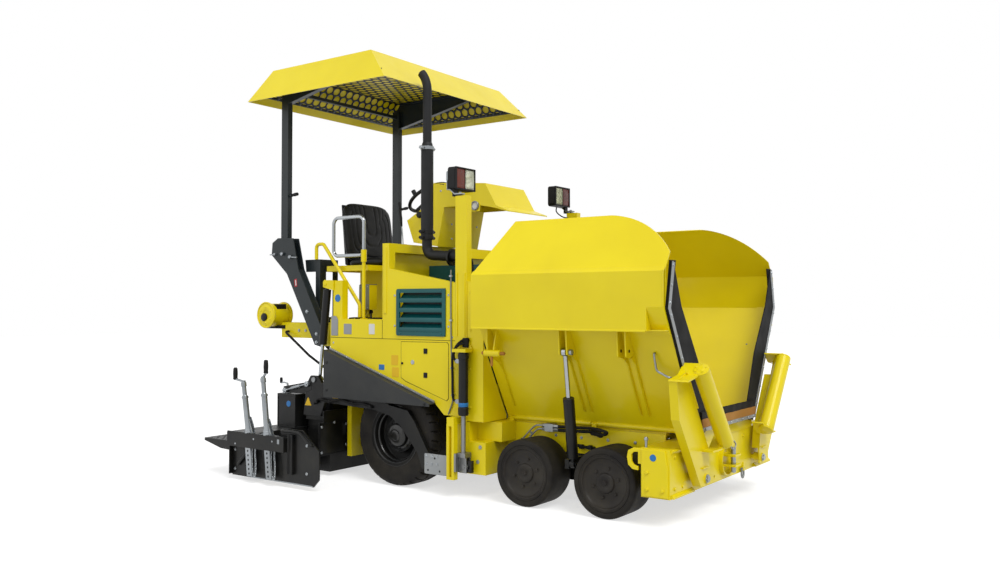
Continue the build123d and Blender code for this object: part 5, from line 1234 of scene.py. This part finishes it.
def makeScreedEnds():
    y, foot, body = screedEnd["y"], screedEnd["foot"], "extension_SIDE"
    grips = [turned([(0.0, z1 + 0.003), (0.01, z1 + 0.002), (0.0145, z1 - 0.006), (0.0165, (z0 + z1) / 2),
                     (0.015, z0 + 0.01), (0.0165, z0), (0.0125, z0 - 0.003), (0.0, z0 - 0.003)], (x, y, 0), upward, 24)
             for x, z0, z1 in screedEnd["grips"]]
    bothSides("crankGrips", grips, "black_plastic", body)
    zinc = []
    along = np.array([0.0, 0.03, 0.031, 0.06, 0.061, 0.66, 0.661, 0.7, 0.701, 0.72])[:, None]
    for (x0, z0), (x1, z1) in screedEnd["spindles"]:
        run = np.array((x1 - x0, 0, z1 - z0))
        sleeve = np.array((x0, y, z0)) + along * run
        zinc.append(tube(sleeve, (0.026, 0.026, 0.022, 0.022, 0.0195, 0.0195, 0.023, 0.023, 0.019, 0.016), 24))
        top = np.array((x1, y, z1))
        collar = [top - unit(run) * down for down in (0.04, 0.039, 0.012, 0.011)]
        zinc.append(tube(collar, (0.016, 0.019, 0.019, 0.016), 20))
        zinc.append(boxes((x0 - 0.052, x0 + 0.052, y - 0.021, y + 0.021, foot, foot + 0.005)))
        zinc.append(plate([(x0 - 0.04, foot + 0.004), (x0 + 0.046, foot + 0.004), (x0 + 0.028, foot + 0.06),
                           (x0 + 0.004, foot + 0.11), (x0 - 0.02, foot + 0.11)], y + 0.015, y + 0.019))
        zinc.append(bolts([(x0 - 0.038, y - 0.012, foot + 0.005), (x0 + 0.038, y - 0.012, foot + 0.005)], upward, 0.006,
                          0.005))
    holes, chains = [], []
    low, high, lean, face = 0.046, 0.2355, 0.02, y - 0.0195  # of the guide strips
    for x0, x1 in screedEnd["strips"]:
        zinc.append(plate([(x0 + lean, low), (x1 + lean, low), (x1, high), (x0, high)], face, y - 0.0165))
        zinc.append(plate([(x0, high), (x0 + lean, low), (x0 + 0.024, low), (x0 + 0.004, high)], face, y + 0.002))
        for z in np.linspace(0.066, 0.216, 6):
            holes.append(darkHole(((x0 + x1) / 2 + lean * (high - z) / 0.19, face, z), 0.0075))
        hang = smoothPath([(x1 + 0.004, y - 0.006, 0.232), (x1 + 0.006, y - 0.01, 0.16), (x1 + 0.016, y - 0.012, 0.085),
                           (x1 + 0.03, y - 0.012, 0.048), (x1 + 0.042, y - 0.01, 0.07), (x1 + 0.04, y - 0.006, 0.14),
                           (x1 + 0.032, y - 0.004, 0.19), (x1 + 0.03, y - 0.002, 0.232)])
        chains.append(chainLinks(hang, screedEnd["chainPitch"], 0.0028, 0.01))
    bothSides("screedZinc", zinc, "zinc", body)
    bothSides("stripHoles", holes, "black_plastic", body)
    bothSides("screedChains", chains, "zinc", body)
    gate, cover = screedEnd["gate"], screedEnd["cover"]
    gateBolts = [(x, gate, z) for x, z in ((-1.47, 0.205), (-1.47, 0.074), (-0.76, 0.11), (-0.76, 0.29))]
    coverBolts = [(x, cover + 0.003, z) for x, z in ((-1.413, 0.255), (-1.225, 0.3), (-1.04, 0.3))]
    fixings = [bolts(gateBolts, rightward, 0.008, 0.006), bolts(coverBolts, rightward, 0.007, 0.004),
               boxes((-0.99, -0.97, cover - 0.0008, cover + 0.002, 0.288, 0.318)),
               boxes((-1.3, -0.705, gate - 0.002, gate + 0.001, 0.0305, 0.0385))]
    bothSides("gateFixings", fixings, "zinc", body, smooth=30)
    # rods as X, distance from the gate and Z; the channel as X and that distance
    handle = ((-0.985, 0.002, 0.372), (-0.982, -0.014, 0.372), (-0.94, -0.018, 0.373), (-0.86, -0.018, 0.373),
              (-0.805, -0.018, 0.366), (-0.76, -0.018, 0.335), (-0.715, -0.016, 0.3), (-0.706, 0.002, 0.293))
    lever = ((-1.43, -0.01, 0.108), (-1.405, -0.014, 0.13), (-1.37, -0.016, 0.16), (-1.336, -0.014, 0.19),
             (-1.32, -0.008, 0.212), (-1.315, -0.004, 0.236))
    channel = ((-0.925, 0.001), (-0.925, -0.022), (-0.918, -0.026), (-0.912, -0.016), (-0.888, -0.016),
               (-0.882, -0.026), (-0.875, -0.022), (-0.875, 0.001))
    rods = ((handle, 0.009), (lever, 0.011))
    trim = [hose([(x, gate + out, z) for x, out, z in path], radius, 12, 6) for path, radius in rods]
    trim.append(plate([(x, gate + out) for x, out in channel], 0.095, 0.352, "z"))
    lip = [(-1.498, cover + 0.0015), (-0.932, cover + 0.0015), (-0.932, cover + 0.009), (-1.498, cover + 0.009)]
    trim.append(plate(lip, 0.33, 0.3365, "z"))
    trim.append(boxes((-1.5, -1.494, gate - 0.03, gate + 0.001, 0.04, 0.236)))
    bothSides("gateTrim", trim, "black_paint", body, bevel=0.001)
    bothSides("footTreads", [treads(-1.815, -1.508, -1.118, -0.455, 0.256)], "black_paint", body)
    y = screedEnd["crankY"]
    crank = [tube([(-1.42, y, 0.556), (-1.43, y, 0.59), (-1.44, y, 0.632)], 0.008, 12),
             tube([(-1.436, y, 0.628), (-1.47, y, 0.634), (-1.505, y, 0.63)], 0.006, 10),
             turned([(0.018, 0.0), (0.018, 0.012), (0.012, 0.014), (0.012, 0.0)], (-1.42, y, 0.558), upward, 6,
                    closed=True)]
    bothSides("smallCrank", crank, "zinc", body)
    knob = turned([(0, 0.67), (0.009, 0.668), (0.011, 0.655), (0.01, 0.63), (0, 0.624)], (-1.505, y, 0), upward, 18)
    bothSides("smallCrankKnob", [knob], "black_plastic", body)
    tower = boxes((-1.474, -1.286, -0.764, -0.596, 0.548, 0.562), (-1.474, -1.466, -0.764, -0.756, 0.332, 0.55),
                  (-1.294, -1.286, -0.764, -0.756, 0.332, 0.55))
    bothSides("towerTrim", [tower], "black_paint", body, bevel=0.002)
    bothSides("towerDisc", [flatDisc((-1.358, -0.7605, 0.491), 0.021, 0.0012, 32)], "blueDisc", body)


makeScreedEnds()

# tow arms and screed board: galvanised nose plates, turnbuckles, blank plates, hose run, frames with bolts
towArm = {"face": -0.735, "board": -1.013}


def makeTowArms():
    face = towArm["face"]
    front = face - 0.008
    holes = [darkHole((x, front, z), 0.007) for x, z in ((-0.075, 0.15), (-0.02, 0.228), (0.02, 0.15))]
    bothSides("noseHoles", holes, "black_plastic", "screed")
    nose = plate(roundedOutline(-0.105, 0.1, 0.126, 0.254, 0.008), front, face - 0.0002)
    bothSides("nosePlate", [nose], "bareSheet", "screed", bevel=0.0015)
    heads = [(x, front, z) for x in (-0.088, -0.045, 0.0) for z in (0.19, 0.24)]
    boltRow("noseBolts", heads, rightward, 0.008, 0.006, body="screed")
    y = face - 0.012
    start, end = np.array((-1.185, y, 0.64)), np.array((-1.412, y, 0.583))
    along = np.array([0.0, 0.3, 0.301, 0.34, 0.341, 0.66, 0.661, 0.7, 0.701, 1.0])[:, None]
    radii = (0.0065, 0.0065, 0.011, 0.011, 0.0125, 0.0125, 0.011, 0.011, 0.0065, 0.0065)
    link = tube(start + (end - start) * along, radii, 16)
    eye = [(0.019, -0.008), (0.019, 0.008), (0.009, 0.008), (0.009, -0.008)]
    eyes = [turned(eye, point, sides=28, closed=True) for point in (start, end)]
    pins = [bolts([point + (0, -0.008, 0)], rightward, 0.009, 0.007) for point in (start, end)]
    bothSides("turnbuckle", [link] + eyes + pins, "zinc", "screed")
    bracket = [plate([(-1.15, 0.66), (-1.44, 0.61), (-1.44, 0.568), (-1.23, 0.568), (-1.15, 0.6)], face - 0.002,
                     face + 0.006)]
    bothSides("linkBracket", bracket, "black_paint", "screed", bevel=0.002)
    square = [plate(roundedOutline(-0.941, -0.883, 0.552, 0.61, 0.004), face - 0.0014, face - 0.0002),
              plate([(-1.216, 0.488), (-1.15, 0.488), (-1.183, 0.548)], face - 0.0014, face - 0.0002)]
    bothSides("armPlates", square, "orangePlate", "screed")
    flange = [plate([(-1.045, 0.645), (-1.045, 0.653), (-0.8, 0.608), (-0.6, 0.58), (-0.42, 0.546), (-0.42, 0.538),
                     (-0.6, 0.572), (-0.8, 0.6)], face - 0.004, face + 0.025)]
    bothSides("armFlange", flange, "black_paint", "screed", bevel=0.001)
    run = ((-1.11, 0.01, 0.505), (-1.06, 0.014, 0.54), (-0.96, 0.014, 0.53), (-0.85, 0.014, 0.548),
           (-0.74, 0.014, 0.53), (-0.64, 0.014, 0.534), (-0.56, 0.01, 0.515))
    bothSides("armHose", [hose([(x, face - out, z) for x, out, z in run], 0.008, 12)], "black_rubber", "screed")
    clips = boxes(*[(x - 0.008, x + 0.008, face - 0.0205, face + 0.001, z - 0.01, z + 0.01)
                    for x, z in ((-1.085, 0.522), (-0.96, 0.53), (-0.74, 0.531), (-0.575, 0.519))])
    bothSides("hoseClips", [clips], "black_plastic", "screed", bevel=0.002)
    x = towArm["board"]
    bars = ((-0.789, -0.515, 0.368, 0.379), (-0.789, -0.778, 0.151, 0.379), (-0.526, -0.515, 0.151, 0.379),
            (-0.789, -0.515, 0.151, 0.161))
    bothSides("boardFrame", [boxes(*[(x - 0.001, x + 0.005, *bar) for bar in bars])], "black_plastic", "screed",
              bevel=0.001)
    spots = ((-0.536, 0.352), (-0.536, 0.208), (-0.77, 0.352), (-0.77, 0.175), (-0.65, 0.374))
    seats = [(x + 0.005, y, z) for y, z in spots]
    boltRow("boardBolts", seats, forward, 0.008, 0.006, body="screed")
    makePiece("walkTreads", [treads(-1.196, -1.08, -0.59, 0.59, 0.56)], "black_paint", "screed")


makeTowArms()
print("the screed's pieces are made")

# augers: helical flights on their shafts
augerForm = {"pitch": 0.21, "shaft": 0.03, "thick": 0.01, "steps": 150}


def makeAuger(side):
    # flight: an edge square to the shaft, carried along it while it turns once per pitch
    low, high = (np.array(v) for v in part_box("auger_" + side))
    centre, radius = (low + high) / 2, (high - low)[0] / 2
    away = -1 if side == "right" else 1
    y = np.linspace(low[1] + 0.05, high[1] - 0.05, augerForm["steps"])
    turn = away * fullTurn * (y - low[1]) / augerForm["pitch"]
    s = augerForm["shaft"]
    r = np.array([s - 0.003, radius * 0.985, radius * 0.985, s - 0.003])
    shift = np.array([-0.5, -0.35, 0.35, 0.5]) * augerForm["thick"]
    points = np.stack([centre[0] + np.cos(turn)[:, None] * r, y[:, None] + shift,
                       centre[2] + np.sin(turn)[:, None] * r], 2)
    points = points.reshape(-1, 3)
    count = len(points)
    ends = [[0, 1, 2, 3], list(range(count - 1, count - 5, -1))]
    flight = (points, gridFaces(augerForm["steps"], 4, closeCols=True) + ends)
    shaft = turned([(0, low[1]), (s - 0.004, low[1]), (s, low[1] + 0.004), (s, high[1] - 0.004), (s - 0.004, high[1]),
                    (0, high[1])], (centre[0], 0, centre[2]), sides=32)
    collar = turned([(s, low[1] + 0.02), (s + 0.01, low[1] + 0.022), (s + 0.01, low[1] + 0.042), (s, low[1] + 0.044)],
                    (centre[0], 0, centre[2]), sides=32)
    piece = makePiece("augerFlight_" + side, [flight, shaft, collar], "cast", "auger_" + side)
    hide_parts("auger_" + side)


makeAuger("right")
makeAuger("left")

# operator's deck: two mats with raised treads
deckForm = {"x": (-0.994, -0.51), "top": 1.1}


def makeDeck():
    x0, x1 = deckForm["x"]
    top = deckForm["top"]
    halves = ((-0.56, -0.02), (0.02, 0.56))
    mats = [boxes((x0 + 0.03, x1 - 0.03, y0, y1, top + 0.0002, top + 0.004)) for y0, y1 in halves]
    makePiece("deckMats", mats, "black_rubber", bevel=0.0015)
    pattern = [treads(x0 + 0.04, x1 - 0.04, y0 + 0.01, y1 - 0.01, top + 0.004) for y0, y1 in halves]
    makePiece("deckTreads", pattern, "black_rubber")


makeDeck()
